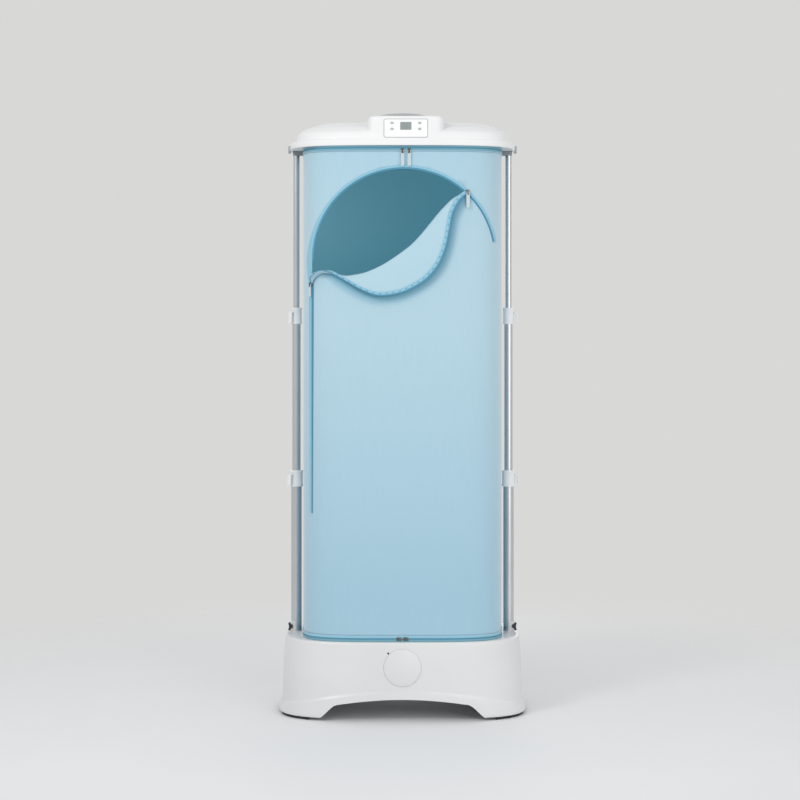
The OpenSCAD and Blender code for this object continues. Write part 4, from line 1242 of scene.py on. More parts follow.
@dataclass
class Lid:
    """Domed lid over a rim, with a raised pod that holds the panel and the vent.

    The dome's profile gives how far it draws in along x and y at shares of its height, and
    the pod's how far it draws in at depths under its top.
    """

    half_w: float = 0.3095
    half_d: float = 0.214
    rim_top: float = 1.560
    rim_low: float = 1.543
    rim_round: float = 0.002
    rim_in: float = 0.0055
    rim_flat: float = 0.006
    dome_height: float = 0.0585
    dome_foot: float = 0.0004
    pod_x: float = 0.009
    pod_y: float = -0.114
    pod_a: float = 0.103
    pod_b: float = 0.095
    pod_power: float = 8.0
    pod_top: float = 1.6235
    blend: float = 0.004
    wall: float = 0.0024
    vent: Triple = (0.0, -0.036, 0.0598)
    vent_low: float = 1.610
    panel_size: Triple = (0.1182, 0.0502, 0.0050)
    panel_z: float = 1.589
    span_x: tuple[float, ...] = (-0.3125, -0.100, 0.118, 0.3125)
    span_y: tuple[float, ...] = (-0.217, -0.2165, -0.012, 0.217)
    box_top: float = 1.630
    box_rows: int = 36
    core_y: float = 0.02
    farthest: float = 0.6
    halvings: int = 24
    coarse: float = 0.006
    fine: float = 0.0025
    dome_steps: int = 300
    pod_steps: int = 120
    rim_steps: int = 5
    sharp: float = 38.0
    recess: Point = (-0.216, 0.0114)
    dome_profile: tuple[Triple, ...] = (
        (0.002, 0.002, 0.0), (0.0138, 0.0030, 0.012), (0.0160, 0.0040, 0.06),
        (0.0172, 0.0066, 0.20), (0.0192, 0.0131, 0.36), (0.0232, 0.0220, 0.45),
        (0.0288, 0.0323, 0.54), (0.0364, 0.0441, 0.63), (0.0472, 0.0605, 0.72),
        (0.0609, 0.0815, 0.81), (0.0754, 0.1070, 0.91), (0.0976, 0.1340, 0.98),
        (0.1274, 0.1626, 1.0))
    pod_profile: tuple[Point, ...] = (
        (0.0, 0.020), (0.0004, 0.011), (0.0018, 0.0055), (0.0048, 0.0018), (0.0105, 0.0))

    @staticmethod
    def within(x: Array, y: Array, a: Array, b: Array, power: float) -> Array:
        """Tells which places lie within a superellipse."""
        return (np.abs(x) / a) ** power + (np.abs(y) / b) ** power < 1

    def in_dome(self, p: Array) -> Array:
        """Tells which points are inside the dome.

        Args:
            p: Points, one row each.

        Returns:
            One truth value for each point.
        """
        across, deep, rise = soft_curve(self.dome_profile, self.dome_steps).T
        rise = np.maximum.accumulate(rise)
        share = (p[:, 2] - self.rim_top) / self.dome_height
        return self.within(p[:, 0], p[:, 1], self.half_w - np.interp(share, rise, across),
                           self.half_d - np.interp(share, rise, deep), SHELL_POWER) & (share < 1)

    def in_pod(self, p: Array) -> Array:
        """Tells which points are inside the pod.

        Args:
            p: Points, one row each.

        Returns:
            One truth value for each point.
        """
        curve = soft_curve(self.pod_profile, self.pod_steps)
        drop = self.pod_top - p[:, 2]
        inset = np.interp(drop, curve[::-1, 1], curve[::-1, 0])
        return self.within(p[:, 0] - self.pod_x, p[:, 1] - self.pod_y, self.pod_a - inset,
                           self.pod_b - inset, self.pod_power) & (drop > 0)

    def lines(self, low: float, fine_low: float, fine_high: float, high: float) -> Array:
        """Grid lines from low to high, dense between two places, which lie over the pod.

        Args:
            low: The first line.
            fine_low: Where the dense stretch starts.
            fine_high: Where it ends.
            high: The last line.

        Returns:
            The lines' places.
        """
        before, after = (max(2, round(reach / self.coarse))
                         for reach in (fine_low - low, high - fine_high))
        dense = round((fine_high - fine_low) / self.fine)
        return np.concatenate([np.linspace(low, fine_low, before, endpoint=False),
                               np.linspace(fine_low, fine_high, dense, endpoint=False),
                               np.linspace(fine_high, high, after + 1)])

    def dome(self) -> Obj:
        """Builds dome and pod as one smooth form, by reaching out from a point inside both.

        Returns:
            The form with its wall, open under the vent.
        """
        base = self.rim_top - self.dome_foot
        xs, ys = self.lines(*self.span_x), self.lines(*self.span_y)
        zs = np.linspace(base, self.box_top, self.box_rows)
        ring = border(xs, ys)
        faces = grid_faces(len(zs), len(ring), ring=True)
        faces += grid_faces(len(xs), len(ys), start=len(zs) * len(ring))
        grid = np.vstack([level(*ring.T, z) for z in zs] + [level(*lattice(xs, ys).T, zs[-1])])
        centre = np.array([self.pod_x, self.pod_y + self.core_y, base])
        way = grid - centre
        way /= np.linalg.norm(way, axis=1)[:, None]
        dome, pod = (bisect(np.zeros(len(way)), np.full(len(way), self.farthest),
                            lambda far: test(centre + way * far[:, None]), self.halvings)[0]
                     for test in (self.in_dome, self.in_pod))
        overlap = np.clip(self.blend - np.abs(dome - pod), 0, None) / self.blend
        far = np.maximum(dome, pod) + overlap ** 2 * self.blend / 4
        placed = centre + way * far[:, None]
        placed[:, 2] = np.minimum(placed[:, 2], self.pod_top)
        vx, vy, vr = self.vent
        under_vent = np.hypot(placed[:, 0] - vx, placed[:, 1] - vy) < vr
        under_vent &= placed[:, 2] > self.vent_low
        faces = [f for f in faces if not all(under_vent[i] for i in f)]
        return thicken(weld(make_object("lid_dome", placed, faces)), self.wall)

    def rim(self) -> Obj:
        """Builds the rim round the dome.

        Returns:
            The rim.
        """
        r, low, high = self.rim_round, self.rim_low, self.rim_top
        turns = np.radians(np.linspace(0, 90, self.rim_steps))
        profile = [(-self.rim_in, low),
                   *[(r * math.sin(t) - r, low + r - r * math.cos(t)) for t in turns],
                   (0.0, low + self.rim_flat), (0.0, high - self.rim_flat),
                   *[(r * math.cos(t) - r, high - r + r * math.sin(t)) for t in turns],
                   (-self.rim_in, high)]
        return hoop("lid_rim", (self.half_w, self.half_d, SHELL_POWER), profile, SHELL_COLUMNS)

    def build(self) -> list[Obj]:
        """Builds the lid's own pieces and mounts them.

        Returns:
            The pieces.
        """
        front, deep = self.recess
        tool = front_block(rounded_outline(*self.panel_size), (self.pod_x, front, self.panel_z),
                           deep)
        made = join("lid_casing", [carve(self.dome(), tool), self.rim()])
        return [mount(finished(bake(made, self.sharp), "top_white"), Body.TOP, "top_white",
                      "top_shell")]


# ---------------------------------------------------------------- cover with its door


@dataclass
class Door:
    """The door's zip: an arc that ends in a straight stretch at the left, and the flap's fold.

    Angles are in degrees above the right-hand horizontal. The ridge is the fold at which
    the flap turns out, and the edge is the flap's free side. Both are x and z on the front.
    """

    x: float = 0.004
    z: float = 1.235
    r: float = 0.250
    slider_angle: float = 47.0
    slider_z: float = 1.171
    closed_end: float = 12.0
    zip_low: float = 0.554
    # Painted shadow under the flap: its width, where it stops narrowing, its least share, and its
    # gap inside the arc
    shade_width: float = 0.034
    shade_start: float = 0.16
    shade_least: float = 0.05
    shade_gap: float = 0.002
    slider_gap: float = 0.6
    corner_gap: float = 0.005
    low_gap: float = 0.003
    ridge_steps: int = 110
    shade_steps: int = 240
    ridge: tuple[Point, ...] = (
        (-0.2460, 1.1700), (-0.2349, 1.1900), (-0.2143, 1.2015), (-0.184, 1.1990),
        (-0.151, 1.1920), (-0.122, 1.1960), (-0.095, 1.2034), (-0.060, 1.2190),
        (-0.0308, 1.2366), (0.0, 1.2580), (0.0254, 1.2783), (0.052, 1.3070),
        (0.0749, 1.3345), (0.105, 1.3700), (0.1378, 1.4014), (0.1745, 1.4178))
    edge: tuple[Point, ...] = (
        (-0.2455, 1.1690), (-0.2349, 1.1930), (-0.2143, 1.2065), (-0.184, 1.2000),
        (-0.1431, 1.1767), (-0.1057, 1.1558), (-0.0639, 1.1427), (-0.012, 1.1483),
        (0.0254, 1.1633), (0.0629, 1.1874), (0.0936, 1.2249), (0.1124, 1.2703),
        (0.1236, 1.3238), (0.1311, 1.3613), (0.150, 1.3987), (0.1740, 1.4176))

    def arc(self, low: float, high: float, step: float = 1.2) -> Array:
        """Rows of x, z and the direction away from the door's middle, along the arc.

        Args:
            low: First angle.
            high: Last angle.
            step: Degrees between points.

        Returns:
            One row for each point.
        """
        turn = np.radians(np.arange(low, high + step / 2, step))
        c, s = np.cos(turn), np.sin(turn)
        return np.column_stack([self.x + self.r * c, self.z + self.r * s, c, s])

    def straight(self, high: float, low: float, step: float = 0.006) -> Array:
        """Rows of x, z and the direction away, down the straight stretch at the left.

        Args:
            high: First height.
            low: Last height.
            step: Distance between points.

        Returns:
            One row for each point.
        """
        z = np.linspace(high, low, max(2, int((high - low) / step)))
        one = np.ones(len(z))
        return np.column_stack([one * (self.x - self.r), z, -one, one * 0])

    def opening(self) -> Array:
        """Outline of the open part of the door in x and z.

        Returns:
            The outline's corners, one row each.
        """
        arc = self.arc(self.slider_angle + self.slider_gap, 180)
        side = self.straight(self.z - self.corner_gap, self.slider_z + self.low_gap)
        return np.vstack([arc[:, :2], side[:, :2], soft_curve(self.ridge, self.ridge_steps)[:-1]])

    def shade(self, x: Array, z: Array) -> Array:
        """How deep places on the front lie in the painted shadow of the turned-out flap, 0 to 1.

        Args:
            x: Places across the front.
            z: Their heights.

        Returns:
            One value for each place.
        """
        edge, ridge = (soft_curve(curve, self.shade_steps) for curve in (self.edge, self.ridge))
        places = np.column_stack([x, z])
        gaps = np.hypot(places[:, :1] - edge[:, 0], places[:, 1:] - edge[:, 1])
        along = gaps.argmin(axis=1) / len(edge)
        reach = self.shade_width * np.clip(along / self.shade_start, self.shade_least, 1)
        under = inside(places, np.vstack([ridge, edge[::-1]]))
        share = np.where(under, 1.0, np.clip(1 - gaps.min(axis=1) / reach, 0, 1))
        from_middle = np.hypot(x - self.x, z - self.z)
        return share * ((z < self.z) | (from_middle < self.r - self.shade_gap))


@dataclass
class Cover:
    """Fabric cover in one piece round the rack, with soft hanging folds and the door's opening.

    The folds give how many go round and the share of each kind, broad ones first. The edge's
    margins are how far the dense grid goes past the flap's edge: left, right, down and up.
    """

    door: Door
    wall: float = 0.0011
    step_s: float = 0.0078
    step_z: float = 0.0100
    fine_step: float = 0.0042
    end_step: float = 0.004
    tangent_step: float = 0.002
    plan_steps: int = 16001
    edge_steps: int = 120
    folds: tuple[Point, ...] = ((9, 0.45), (14, 0.3), (23, 0.25))
    wrinkles: int = 53
    edge_margins: tuple[float, ...] = (0.03, 0.04, 0.04, 0.01)
    edge_clear: float = 0.040
    edge_reach: float = 0.036
    hole_clear: float = 0.0045
    taut: float = 0.05
    gather_low: float = 0.030
    gather_high: float = 0.022
    fold: float = 0.0012
    pucker: float = 0.0011
    joint: str = "mast_slide"

    def __post_init__(self) -> None:
        """Measures the way round the cover, from the middle of its rear over the left side."""
        turn = math.pi / 2 + np.linspace(0, 2 * math.pi, self.plan_steps)
        self.px, self.py = superellipse(COVER_A, COVER_B, COVER_POWER, turn)
        self.s = run_of(np.hypot(np.diff(self.px), np.diff(self.py)))
        self.length = self.s[-1]
        front = (turn >= math.pi) & (turn <= 2 * math.pi)
        self.front_x, self.front_s = self.px[front], self.s[front]

    def s_at(self, x: Array) -> Array:
        """Way round the cover to a place on its front."""
        return np.interp(x, self.front_x, self.front_s)

    def unrolled(self, places: Array) -> Array:
        """Turns places in x and z on the front into the way round and z."""
        return np.column_stack([self.s_at(places[:, 0]), places[:, 1]])

    def sink(self, s: Array, z: Array) -> Array:
        """How far the folds and the gathers at the bands lie in from the smooth form.

        Args:
            s: Way round the cover.
            z: Height.

        Returns:
            The distance inwards.
        """
        turn = 2 * math.pi * s / self.length
        low, high = z - COVER_LOW, COVER_HIGH - z
        rise, near = low / (COVER_HIGH - COVER_LOW), np.minimum(low, high)
        (n1, k1), (n2, k2), (n3, k3) = self.folds
        # Each kind of fold leans in its own way on its way up, and the narrow ones fade below
        broad = (np.sin(n1 * turn + 1.4 * np.sin(2.2 * rise + 0.6)) * k1
                 + np.sin(n2 * turn - 2.0 * rise + 1.1) * k2
                 + np.sin(n3 * turn + 1.3 * rise * rise + 2.2) * k3 * (0.4 + 0.6 * rise))
        tight = np.minimum(1, near / self.taut)
        wrinkle = 0.5 + 0.5 * np.sin(self.wrinkles * turn + 0.8 * np.sin(5 * turn))
        gather = self.pucker * wrinkle * (np.exp(-low / self.gather_low)
                                          + 0.5 * np.exp(-high / self.gather_high))
        gather *= np.minimum(1, near / self.end_step)
        return self.fold * (0.5 + 0.5 * broad) * (0.15 + 0.85 * tight) + gather

    def place(self, s: Array, z: Array, out: Array | float = 0.0) -> Array:
        """Points on the cover.

        Args:
            s: Way round the cover.
            z: Height.
            out: Distance from the cloth, outwards.

        Returns:
            The points, one row each.
        """
        s, z = np.broadcast_arrays(np.asarray(s, float), np.asarray(z, float))
        (x, y), ahead, behind = (
            [np.interp(np.mod(s + step, self.length), self.s, p) for p in (self.px, self.py)]
            for step in (0.0, self.tangent_step, -self.tangent_step))
        tx, ty = ahead[0] - behind[0], ahead[1] - behind[1]
        size = np.hypot(tx, ty)
        away = np.asarray(out) - self.sink(np.mod(s, self.length), z)
        return np.stack([x + away * ty / size, y - away * tx / size, z], axis=-1)

    def on_front(self, x: Array, z: Array, out: Array | float = 0.0) -> Array:
        """Points on the cover's front at x and z, moved outwards."""
        return self.place(self.s_at(x), z, out)

    def filling(self, s_lines: Array, z_lines: Array, hole: Array) -> Array:
        """Points inside the flat cloth, dense along the flap's edge, and none in the hole.

        Args:
            s_lines: Grid lines along the way round.
            z_lines: Grid lines along the height.
            hole: The opening's outline.

        Returns:
            The points, one row each.
        """
        edge = self.unrolled(soft_curve(self.door.edge, self.edge_steps))
        (s_low, z_low), (s_high, z_high) = edge.min(axis=0), edge.max(axis=0)
        left, right, down, up = self.edge_margins
        coarse = lattice(s_lines[1:-1], z_lines[1:-1])
        fine = lattice(np.arange(z_low - down, z_high + up, self.fine_step),
                       np.arange(s_low - left, s_high + right, self.fine_step))[:, ::-1]
        points = np.vstack([coarse[distance_to(coarse, edge) > self.edge_clear],
                            fine[distance_to(fine, edge) < self.edge_reach]])
        points = points[~inside(points, hole)]
        return points[distance_to(points, hole) > self.hole_clear]

    def cloth(self) -> Obj:
        """Builds the cover's cloth.

        Returns:
            The cloth with its wall.
        """
        hole = self.unrolled(self.door.opening())
        rows = round((COVER_HIGH - COVER_LOW) / self.step_z)
        s_lines = np.linspace(0, self.length, round(self.length / self.step_s) + 1)
        z_lines = np.array([COVER_LOW, COVER_LOW + self.end_step,
                            *np.linspace(COVER_LOW, COVER_HIGH, rows + 1)[1:-1],
                            COVER_HIGH - self.end_step, COVER_HIGH])
        flat, faces = flat_region(border(s_lines, z_lines), [hole],
                                  self.filling(s_lines, z_lines, hole))
        s, z = flat.T
        made = make_object("cover_cloth", self.place(s, z), faces, flat, CLOTH_SHARP)
        # Painted shadow of the flap, kept in a UV map that the cloth's colour reads
        shade = np.where(np.abs(s - self.s_at(np.array([0.0]))) < COVER_A,
                         self.door.shade(np.interp(s, self.front_s, self.front_x), z), 0.0)
        add_uv(made.data, "shade", np.column_stack([shade, shade]))
        return thicken(weld(finished(made, "cover_blue", "inside_blue")), self.wall, inner=1)

    def settle(self, obj: Obj, *nodes: str, slot: str = "cover_blue") -> Obj:
        """Mounts a soft piece on the frame, with its own copy of its mesh.

        Args:
            obj: The piece.
            nodes: CAD nodes that it stands for.
            slot: The record's material slot.

        Returns:
            The same piece.
        """
        mount(obj, Body.FRAME, slot, *nodes)
        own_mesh(obj)
        return obj

    def build(self) -> list[Obj]:
        """Builds the cover and mounts it.

        Returns:
            The pieces.
        """
        cloth = self.settle(self.cloth(), "cover")
        return [cloth]


@dataclass
class DoorFlap:
    """The part of the door that is turned out over the fold, with its zip tape.

    Profiles and places of the trim are pairs: distance past the flap's edge, and out of it.
    The roll at the fold has its most and its least height, and its share of the flap's drop.
    The flap's section is a curve of four points, and the shares say where its inner ones are.
    """

    cover: Cover
    door: Door
    wall: float = 0.0010
    curve_steps: int = 400
    steps: int = 120
    columns: int = 16
    stand_off: float = 0.016
    clear: float = 0.0012
    ripple: float = 0.0016
    ripples: Point = (19, 1.3)
    calm_share: float = 0.06
    roll: Triple = (0.010, 0.003, 0.25)
    roll_shares: Point = (0.9, 0.5)
    middle_shares: Point = (0.45, 0.55)
    out_shares: Triple = (0.5, 1.1, 1.0)
    tape_wall: float = 0.0008
    cord_wall: float = 0.0006
    seam_at: Point = (-0.0034, 0.0019)
    teeth_at: Point = (0.0018, 0.0009)
    area_share: float = 0.31
    tape: tuple[Point, ...] = (
        (-0.0085, 0.0008), (-0.0075, 0.0018), (-0.001, 0.0019), (0.0012, 0.0011))
    cord: tuple[Point, ...] = (
        (0.0006, 0.0004), (0.0008, 0.0017), (0.0022, 0.0022), (0.0034, 0.0016), (0.0036, 0.0002))

    def follow(self, knots: tuple[Point, ...]) -> Array:
        """Points along a curve through knots, so that paired knots share the same step.

        Args:
            knots: Points in x and z on the way.

        Returns:
            The curve's points, one row for each step.
        """
        curve = soft_curve(knots, self.curve_steps)
        found = [int(np.argmin(np.hypot(curve[:, 0] - x, curve[:, 1] - z))) for x, z in knots]
        found[0], found[-1] = 0, len(curve) - 1
        shares = np.interp(np.arange(len(curve)), np.maximum.accumulate(found),
                           np.linspace(0, 1, len(knots)))
        return sample(np.linspace(0.0, 1.0, self.steps), shares, curve)

    def grid(self) -> Array:
        """Columns of the flap's points, from the fold to its free edge.

        Returns:
            The points, as an array of columns, steps and 3.
        """
        top, low = self.follow(self.door.ridge), self.follow(self.door.edge)
        u = np.linspace(0.0, 1.0, self.steps)
        calm = np.clip(np.minimum(u / self.calm_share, (1 - u) / self.calm_share), 0, 1)
        drop = np.linalg.norm(top - low, axis=1)
        most, least, share = self.roll
        roll = np.minimum(most, least + share * drop) * calm
        (roll_b, roll_c), (out_b, out_c, out_d) = self.roll_shares, self.out_shares
        (mid_top, mid_low), (count, start) = self.middle_shares, self.ripples
        grid = []
        for v in np.linspace(0, 1, self.columns):
            a, b, c, d = (1 - v) ** 3, 3 * v * (1 - v) ** 2, 3 * v * v * (1 - v), v ** 3
            x, z = (top * (a + b) + (top * mid_top + low * mid_low) * c + low * d).T
            wave = self.ripple * np.sin(count * u + start) * v * calm
            out = (out_b * b + out_c * c + out_d * d) * self.stand_off * calm + self.clear + wave
            grid.append(self.cover.on_front(x, z + (b * roll * roll_b + c * roll * roll_c), out))
        return np.array(grid)

    def build(self) -> list[Obj]:
        """Builds the flap, its hem tape, cord and stitches, and mounts them.

        Returns:
            The pieces.
        """
        grid = self.grid()
        flap = thicken(sweep("flap_cloth", grid[::-1], sharp=CLOTH_SHARP), self.wall)
        flap = finished(flap, "flap_blue")
        edge = grid[-1]
        down = edge - grid[-3]
        down /= np.maximum(np.linalg.norm(down, axis=1), 1e-6)[:, None]
        face = np.tile([0.0, -1.0, 0.0], (len(edge), 1))

        def beside(at: Point) -> Array:
            """Line past the flap's edge and out of it."""
            return edge + down * at[0] + face * at[1]

        strips = [finished(thicken(sweep(name, [beside(at) for at in profile[::-1]]), wall), finish)
                  for name, profile, wall, finish in (
                      ("flap_tape", self.tape, self.tape_wall, "tape_blue"),
                      ("flap_cord", self.cord, self.cord_wall, "coil_teal"))]
        trim = join("flap_trim", [*strips,
                                  FLAP_SEAM.along("flap_seam", beside(self.seam_at), face),
                                  FLAP_TEETH.along("flap_teeth", beside(self.teeth_at), face)])
        self.cover.settle(flap, "door_flap", slot="flap_blue")
        self.cover.settle(trim, slot="tape_blue")
        return [flap, trim]


@dataclass
class DoorZip:
    """Zip tape and welt round the door, and the closed zip down the left side.

    Profiles and places are pairs: distance away from the door's middle, and out of the cloth.
    Towards its left end the arch's welt widens: from which angle, by how much more and with
    which power. The open stretch has its least width and what is added, and the tapers go
    from the upper to the lower end. All are shares of the tape's own width.
    """

    cover: Cover
    door: Door
    welt: tuple[Point, ...] = (
        (-0.0008, 0.0003), (-0.0006, 0.0020), (0.0006, 0.0027), (0.00252, 0.0024),
        (0.00476, 0.0019), (0.0056, 0.0012), (0.0060, -0.0006))
    arch_coil: tuple[Point, ...] = (
        (-0.0052, -0.0004), (-0.0046, 0.0006), (-0.0006, 0.0008), (0.0004, 0.0006))
    side_coil: tuple[Point, ...] = (
        (-0.0052, -0.0004), (-0.0046, 0.0004), (-0.0006, 0.0006), (0.0004, 0.0004))
    arch_teeth_at: Point = (-0.0024, 0.0010)
    side_teeth_at: Point = (-0.0020, 0.0008)
    arch_seam_at: Point = (0.00448, 0.0019)
    side_seam_at: Point = (0.0042, 0.0018)
    low_share: float = 0.75
    arch_wide: Triple = (140.0, 1.4, 1.3)
    open_wide: Point = (1.3, 1.1)
    welt_taper: Point = (1.3, 0.5)
    coil_taper: Point = (1.4, 0.7)
    face_step: float = 0.001
    sharp: float = 60.0

    def on_path(self, path: Array, away: Array | float, out: float) -> Array:
        """Points beside a path on the cover, away from the door's middle and out of the cloth."""
        x, z = (path[:, :2] + path[:, 2:] * away).T
        return self.cover.on_front(x, z, out)

    def ribbon(self, name: str, path: Array, profile: tuple[Point, ...], finish: str,
               widths: Array | float = 1.0) -> Obj:
        """Ribbon on the cover along a path.

        Args:
            name: The new object's name.
            path: Rows of x, z and the direction away from the door.
            profile: Distance away from the door and out of the cloth for each column.
            finish: The name of the ribbon's finish.
            widths: Factor on the profile's distance for each row.

        Returns:
            The ribbon.
        """
        scale = np.ones(len(path)) * widths
        columns = [self.on_path(path, (away * scale)[:, None], out) for away, out in profile]
        return finished(sweep(name, columns, sharp=self.sharp), finish)

    def beads(self, name: str, path: Array, row: BeadRow, at: Point) -> Obj:
        """Sets teeth or stitches along a path.

        Args:
            name: The new object's name.
            path: Rows of x, z and the direction away from the door.
            row: The kind of row.
            at: Distance away from the door and out of the cloth.

        Returns:
            The row.
        """
        away, out = at
        line = self.on_path(path, away, out)
        return row.along(name, line, self.on_path(path, away, out + self.face_step) - line)

    def build(self) -> list[Obj]:
        """Builds welts, coils and seams, and mounts them.

        Returns:
            The pieces.
        """
        door = self.door
        arc = door.arc(door.closed_end, 180)
        side_open = door.straight(door.z, door.slider_z)
        side = door.straight(door.slider_z, door.zip_low)
        low = tuple((x, o * self.low_share) for x, o in self.welt)
        least, more = self.open_wide
        open_widths = least + more * np.cos(0.5 * np.pi * np.linspace(0, 1, len(side_open)))
        start, extra, power = self.arch_wide
        turned = np.degrees(np.arctan2(arc[:, 3], arc[:, 2]))
        ease = np.clip((turned - start) / (180 - start), 0, 1)
        pieces = {
            "arch": [
                self.ribbon("arch_welt", arc, self.welt, "tape_blue", 1 + extra * ease ** power),
                self.ribbon("arch_coil_tape", arc, self.arch_coil, "coil_teal"),
                self.beads("arch_teeth", door.arc(door.closed_end, door.slider_angle),
                           DOOR_TEETH, self.arch_teeth_at),
                self.beads("arch_seam", arc, DOOR_SEAM, self.arch_seam_at)],
            "side": [
                self.ribbon("side_welt_open", side_open, self.welt, "tape_blue", open_widths),
                self.ribbon("side_welt", side, low, "tape_blue",
                            np.linspace(*self.welt_taper, len(side))),
                self.ribbon("side_coil_tape", side, self.side_coil, "coil_teal",
                            np.linspace(*self.coil_taper, len(side))),
                self.beads("side_teeth", side, DOOR_TEETH, self.side_teeth_at),
                self.beads("side_seam", side, DOOR_SEAM, self.side_seam_at)]}
        return [self.cover.settle(join(f"{name}_zip_tape", parts), f"{name}_tape",
                                  slot="tape_blue") for name, parts in pieces.items()]


@dataclass
class ZipBand:
    """Zip band that joins the cover to the base or the lid."""

    name: str
    node: str
    low: float
    body: Body
    cover_above: bool
    inner: float = 0.0002
    outer: float = 0.0017
    soft: float = 0.0007
    gap: float = 0.0016
    coil: Point = (0.0017, 0.0009)
    piping: float = 0.0011
    teeth_out: float = 0.0008
    face_power: float = 1.2
    face_least: float = 0.02
    ring_points: int = 360
    teeth_points: int = 720

    def tape(self, name: str, low: float, high: float, out: float, finish: str) -> Obj:
        """Tape with softly rounded edges, between two heights.

        Args:
            name: The tape's name.
            low: Its lower edge.
            high: Its upper edge.
            out: How far its face stands out.
            finish: Its finish's name.

        Returns:
            The tape.
        """
        soft = self.soft
        profile = [(self.inner, low), (out - soft, low), (out, low + soft), (out, high - soft),
                   (out - soft, high), (self.inner, high)]
        return self.ring(name, profile, finish)

    def ring(self, name: str, profile: list[Point], finish: str) -> Obj:
        """Ring round the cover's plan, with its finish."""
        plan = (COVER_A, COVER_B, COVER_POWER)
        return finished(hoop(name, plan, profile, self.ring_points), finish)

    def teeth(self, z: float) -> Obj:
        """Row of teeth round the band.

        Args:
            z: Their height.

        Returns:
            The row.
        """
        angles = even_angles(COVER_A, COVER_B, COVER_POWER, self.teeth_points)
        x, y = superellipse(COVER_A + self.teeth_out, COVER_B + self.teeth_out, COVER_POWER,
                            np.append(angles, angles[0]))
        face = level(*[axis * ((np.abs(axis) / half) ** self.face_power + self.face_least)
                       for axis, half in ((x, COVER_A), (y, COVER_B))], 0.0)
        return BAND_TEETH.along("teeth", level(x, y, z), face)

    def build(self) -> list[Obj]:
        """Builds the band's tapes, coil and piping, and mounts them.

        Returns:
            The pieces.
        """
        z, high = self.low, self.low + BAND_HEIGHT
        middle = z + 0.5 * BAND_HEIGHT
        tall, out = self.coil
        joint = high if self.cover_above else z
        bead = [(self.piping + self.piping * math.cos(a), joint + self.piping * math.sin(a))
                for a in np.radians(np.arange(0, 360, 45))]
        parts = [self.tape("lower_tape", z, middle - self.gap, self.outer, "band_teal"),
                 self.tape("upper_tape", middle + self.gap, high, self.outer,
                           "tape_blue" if self.cover_above else "band_teal"),
                 self.tape("coil", middle - tall, middle + tall, out, "coil_teal"),
                 self.ring("piping", bead, "cover_blue"), self.teeth(middle)]
        return [mount(join(self.name, parts), self.body, "band_teal", self.node)]


# ---------------------------------------------------------------- CAD pieces


def slot_of(material: bpy.types.Material) -> str:
    """Name of the record's material slot that a CAD node's material stands for."""
    return material.name.split(".")[0].removeprefix("finish_")


@dataclass
class CrispPieces:
    """Small rigid CAD pieces, given the softened edges of real mouldings and castings.

    Angles are in degrees: up to which faces count as flat, above which edges are softened,
    and above which they stay sharp in the shading.
    """

    bevels: dict[str, float] = field(default_factory=BEVELS.copy)
    merged: float = WELD / 2
    flat_angle: float = 1.0
    edge_angle: float = 38.0
    sharp: float = 42.0
    segments: int = 2

    def soften(self, node: str, width: float) -> Obj:
        """Makes a bevelled copy of a CAD node and mounts it in the node's place.

        Args:
            node: The CAD node's name.
            width: Width of the bevels.

        Returns:
            The new piece.
        """
        source = frame["nodes"][node]
        copy = link(f"{node}_soft", source.data.copy())
        copy.data.materials.clear()
        weld(copy, self.merged)
        modify(copy, "DECIMATE", decimate_type="DISSOLVE",
               angle_limit=math.radians(self.flat_angle))
        modify(copy, "BEVEL", width=width, segments=self.segments, limit_method="ANGLE",
               angle_limit=math.radians(self.edge_angle), harden_normals=False)
        slot = slot_of(source.material_slots[0].material)
        body = source.parent.name.removeprefix("body:")
        return mount(finished(bake(copy, self.sharp), slot), body, slot, node)

    def build(self) -> list[Obj]:
        """Softens every piece of the list."""
        return [self.soften(node, width) for node, width in self.bevels.items()]


def dress_nodes() -> None:
    """Gives every CAD node that still shows its finish, by its material slot."""
    for node in frame["nodes"].values():
        for place in node.material_slots:
            place.material = FINISHES[slot_of(place.material)].material()


# ---------------------------------------------------------------- studio


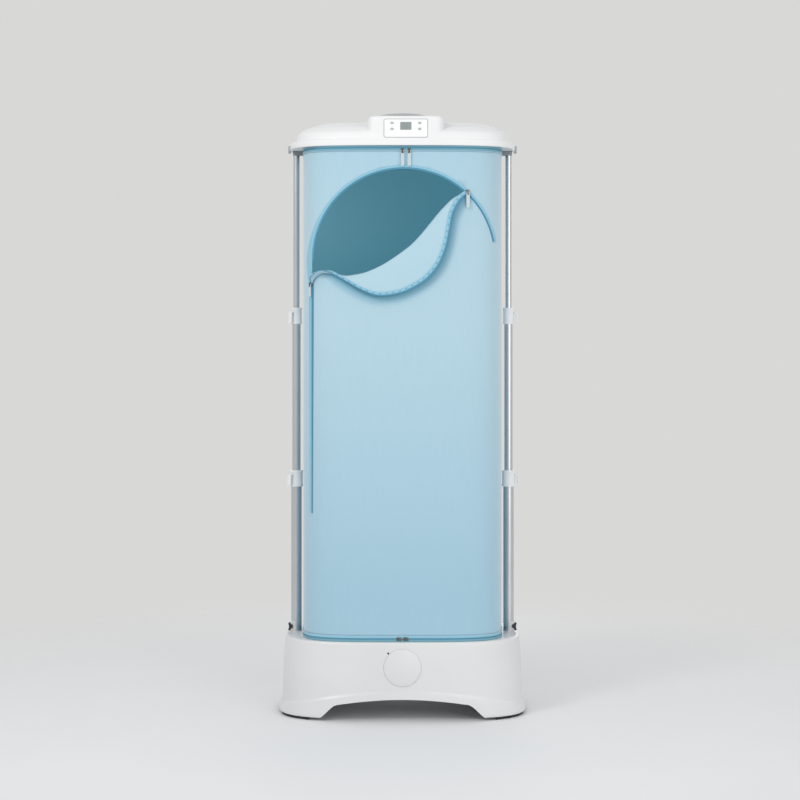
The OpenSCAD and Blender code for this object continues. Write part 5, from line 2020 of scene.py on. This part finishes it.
@dataclass
class Studio:
    """Pale floor, soft light and the camera. Each lamp has a name, place, size and power."""

    floor_size: float = 9.0
    floor_z: float = -0.0002
    floor_colour: Colour = (234, 234, 234)
    floor_tone: float = 0.015
    floor_roughness: float = 0.75
    floor_specular: float = 0.2
    floor_noise: Point = (4.0, 3.0)
    floor_fade: Point = (0.8, 2.6)
    room_colour: Colour = (216, 216, 215)
    sky: tuple[float, ...] = (0.98, 0.99, 1.0, 1.0)
    ambient: float = 0.70
    target: Triple = (0.0, 0.0, 0.85)
    lens: float = 90.8
    sensor: float = 36.0
    shift: Point = (-0.0031, -0.0925)
    eye: Triple = (0.0, -5.614, 1.059)
    lamps: tuple[tuple[str, Triple, float, float], ...] = (
        ("key", (-2.1, -2.9, 3.1), 1.3, 40.0), ("fill", (2.2, -4.0, 1.5), 2.8, 44.0),
        ("overhead", (0.2, -2.2, 4.4), 2.2, 3.0), ("rear", (0.6, 4.0, 1.6), 2.6, 18.0))

    def floor(self) -> None:
        """Builds the floor, which fades into the room's colour away from the rack."""
        half = self.floor_size
        corners = [(x * half, y * half, self.floor_z)
                   for x, y in ((-1, -1), (1, -1), (1, 1), (-1, 1))]
        floor = make_object("studio_floor", np.array(corners), [[0, 1, 2, 3]])
        made = bpy.data.materials.new("studio_floor")
        made.use_nodes = True
        graph = Graph(made.node_tree)
        shader = made.node_tree.nodes["Principled BSDF"].inputs
        place = graph.place()
        reach = graph.node("ShaderNodeVectorMath", {0: place}, operation="LENGTH").outputs["Value"]
        near, far = self.floor_fade
        alpha = graph.node("ShaderNodeMapRange", {0: reach, 1: near, 2: far, 3: 1.0, 4: 0.0},
                           interpolation_type="SMOOTHERSTEP").outputs[0]
        colour = graph.mix(graph.noise(place, *self.floor_noise),
                           *tinted(self.floor_colour, self.floor_tone))
        graph.tree.links.new(colour, shader["Base Color"])
        graph.tree.links.new(alpha, shader["Alpha"])
        shader["Roughness"].default_value = self.floor_roughness
        shader["Specular IOR Level"].default_value = self.floor_specular
        floor.data.materials.append(made)

    def room(self) -> None:
        """Sets the world: plain grey light, and the pale room where a ray sees it directly."""
        world = bpy.data.worlds.new("studio_room")
        bpy.context.scene.world = world
        world.use_nodes = True
        graph = Graph(world.node_tree)
        back = world.node_tree.nodes["Background"]
        back.inputs[0].default_value = self.sky
        back.inputs[1].default_value = self.ambient
        path = graph.node("ShaderNodeLightPath").outputs
        seen = graph.math("MAXIMUM", path["Is Camera Ray"], graph.math(
            "MAXIMUM", path["Is Glossy Ray"], path["Is Transmission Ray"]))
        pale = graph.node("ShaderNodeBackground", {0: linear(self.room_colour), 1: 1.0}).outputs[0]
        mix = graph.node("ShaderNodeMixShader", {0: seen, 1: back.outputs[0], 2: pale}).outputs[0]
        graph.tree.links.new(mix, world.node_tree.nodes["World Output"].inputs[0])

    def light(self) -> None:
        """Adds the soft lamps, each turned to the middle of the rack."""
        for name, place, size, power in self.lamps:
            lamp = bpy.data.lights.new(name, "AREA")
            lamp.shape, lamp.size, lamp.energy = "DISK", size, power
            holder = link(name, lamp)
            holder.location = place
            way = Vector(self.target) - Vector(place)
            holder.rotation_euler = way.to_track_quat("-Z", "Y").to_euler()

    def camera(self) -> None:
        """Sets the camera level, about as high as the rack's middle."""
        lens = bpy.data.cameras.new("camera")
        lens.lens, lens.sensor_width = self.lens, self.sensor
        lens.shift_x, lens.shift_y = self.shift
        holder = link("camera", lens)
        holder.location = self.eye
        holder.rotation_euler = (math.radians(90), 0.0, 0.0)
        bpy.context.scene.camera = holder

    def build(self) -> None:
        """Builds the studio."""
        bpy.context.scene.view_settings.view_transform = "Standard"
        self.floor()
        self.room()
        self.light()
        self.camera()


def main() -> None:
    """Builds the rack's looks and reports each sub-assembly."""
    logging.basicConfig(level=logging.INFO, format="%(name)s: %(message)s")
    Studio().build()
    door = Door()
    cover = Cover(door)
    for part in (BlowerBase(), Lid(), cover, DoorFlap(cover, door), DoorZip(cover, door),
                 ZipBand("top_zip_band", "top_band", LID_UNDERSIDE - BAND_HEIGHT, Body.TOP, False),
                 ZipBand("bottom_zip_band", "bottom_band", BASE_TOP, Body.FRAME, True),
                 CrispPieces()):
        pieces = part.build()
        log.info("%s: %d pieces", type(part).__name__, len(pieces))
    dress_nodes()


if __name__ == "__main__":
    main()
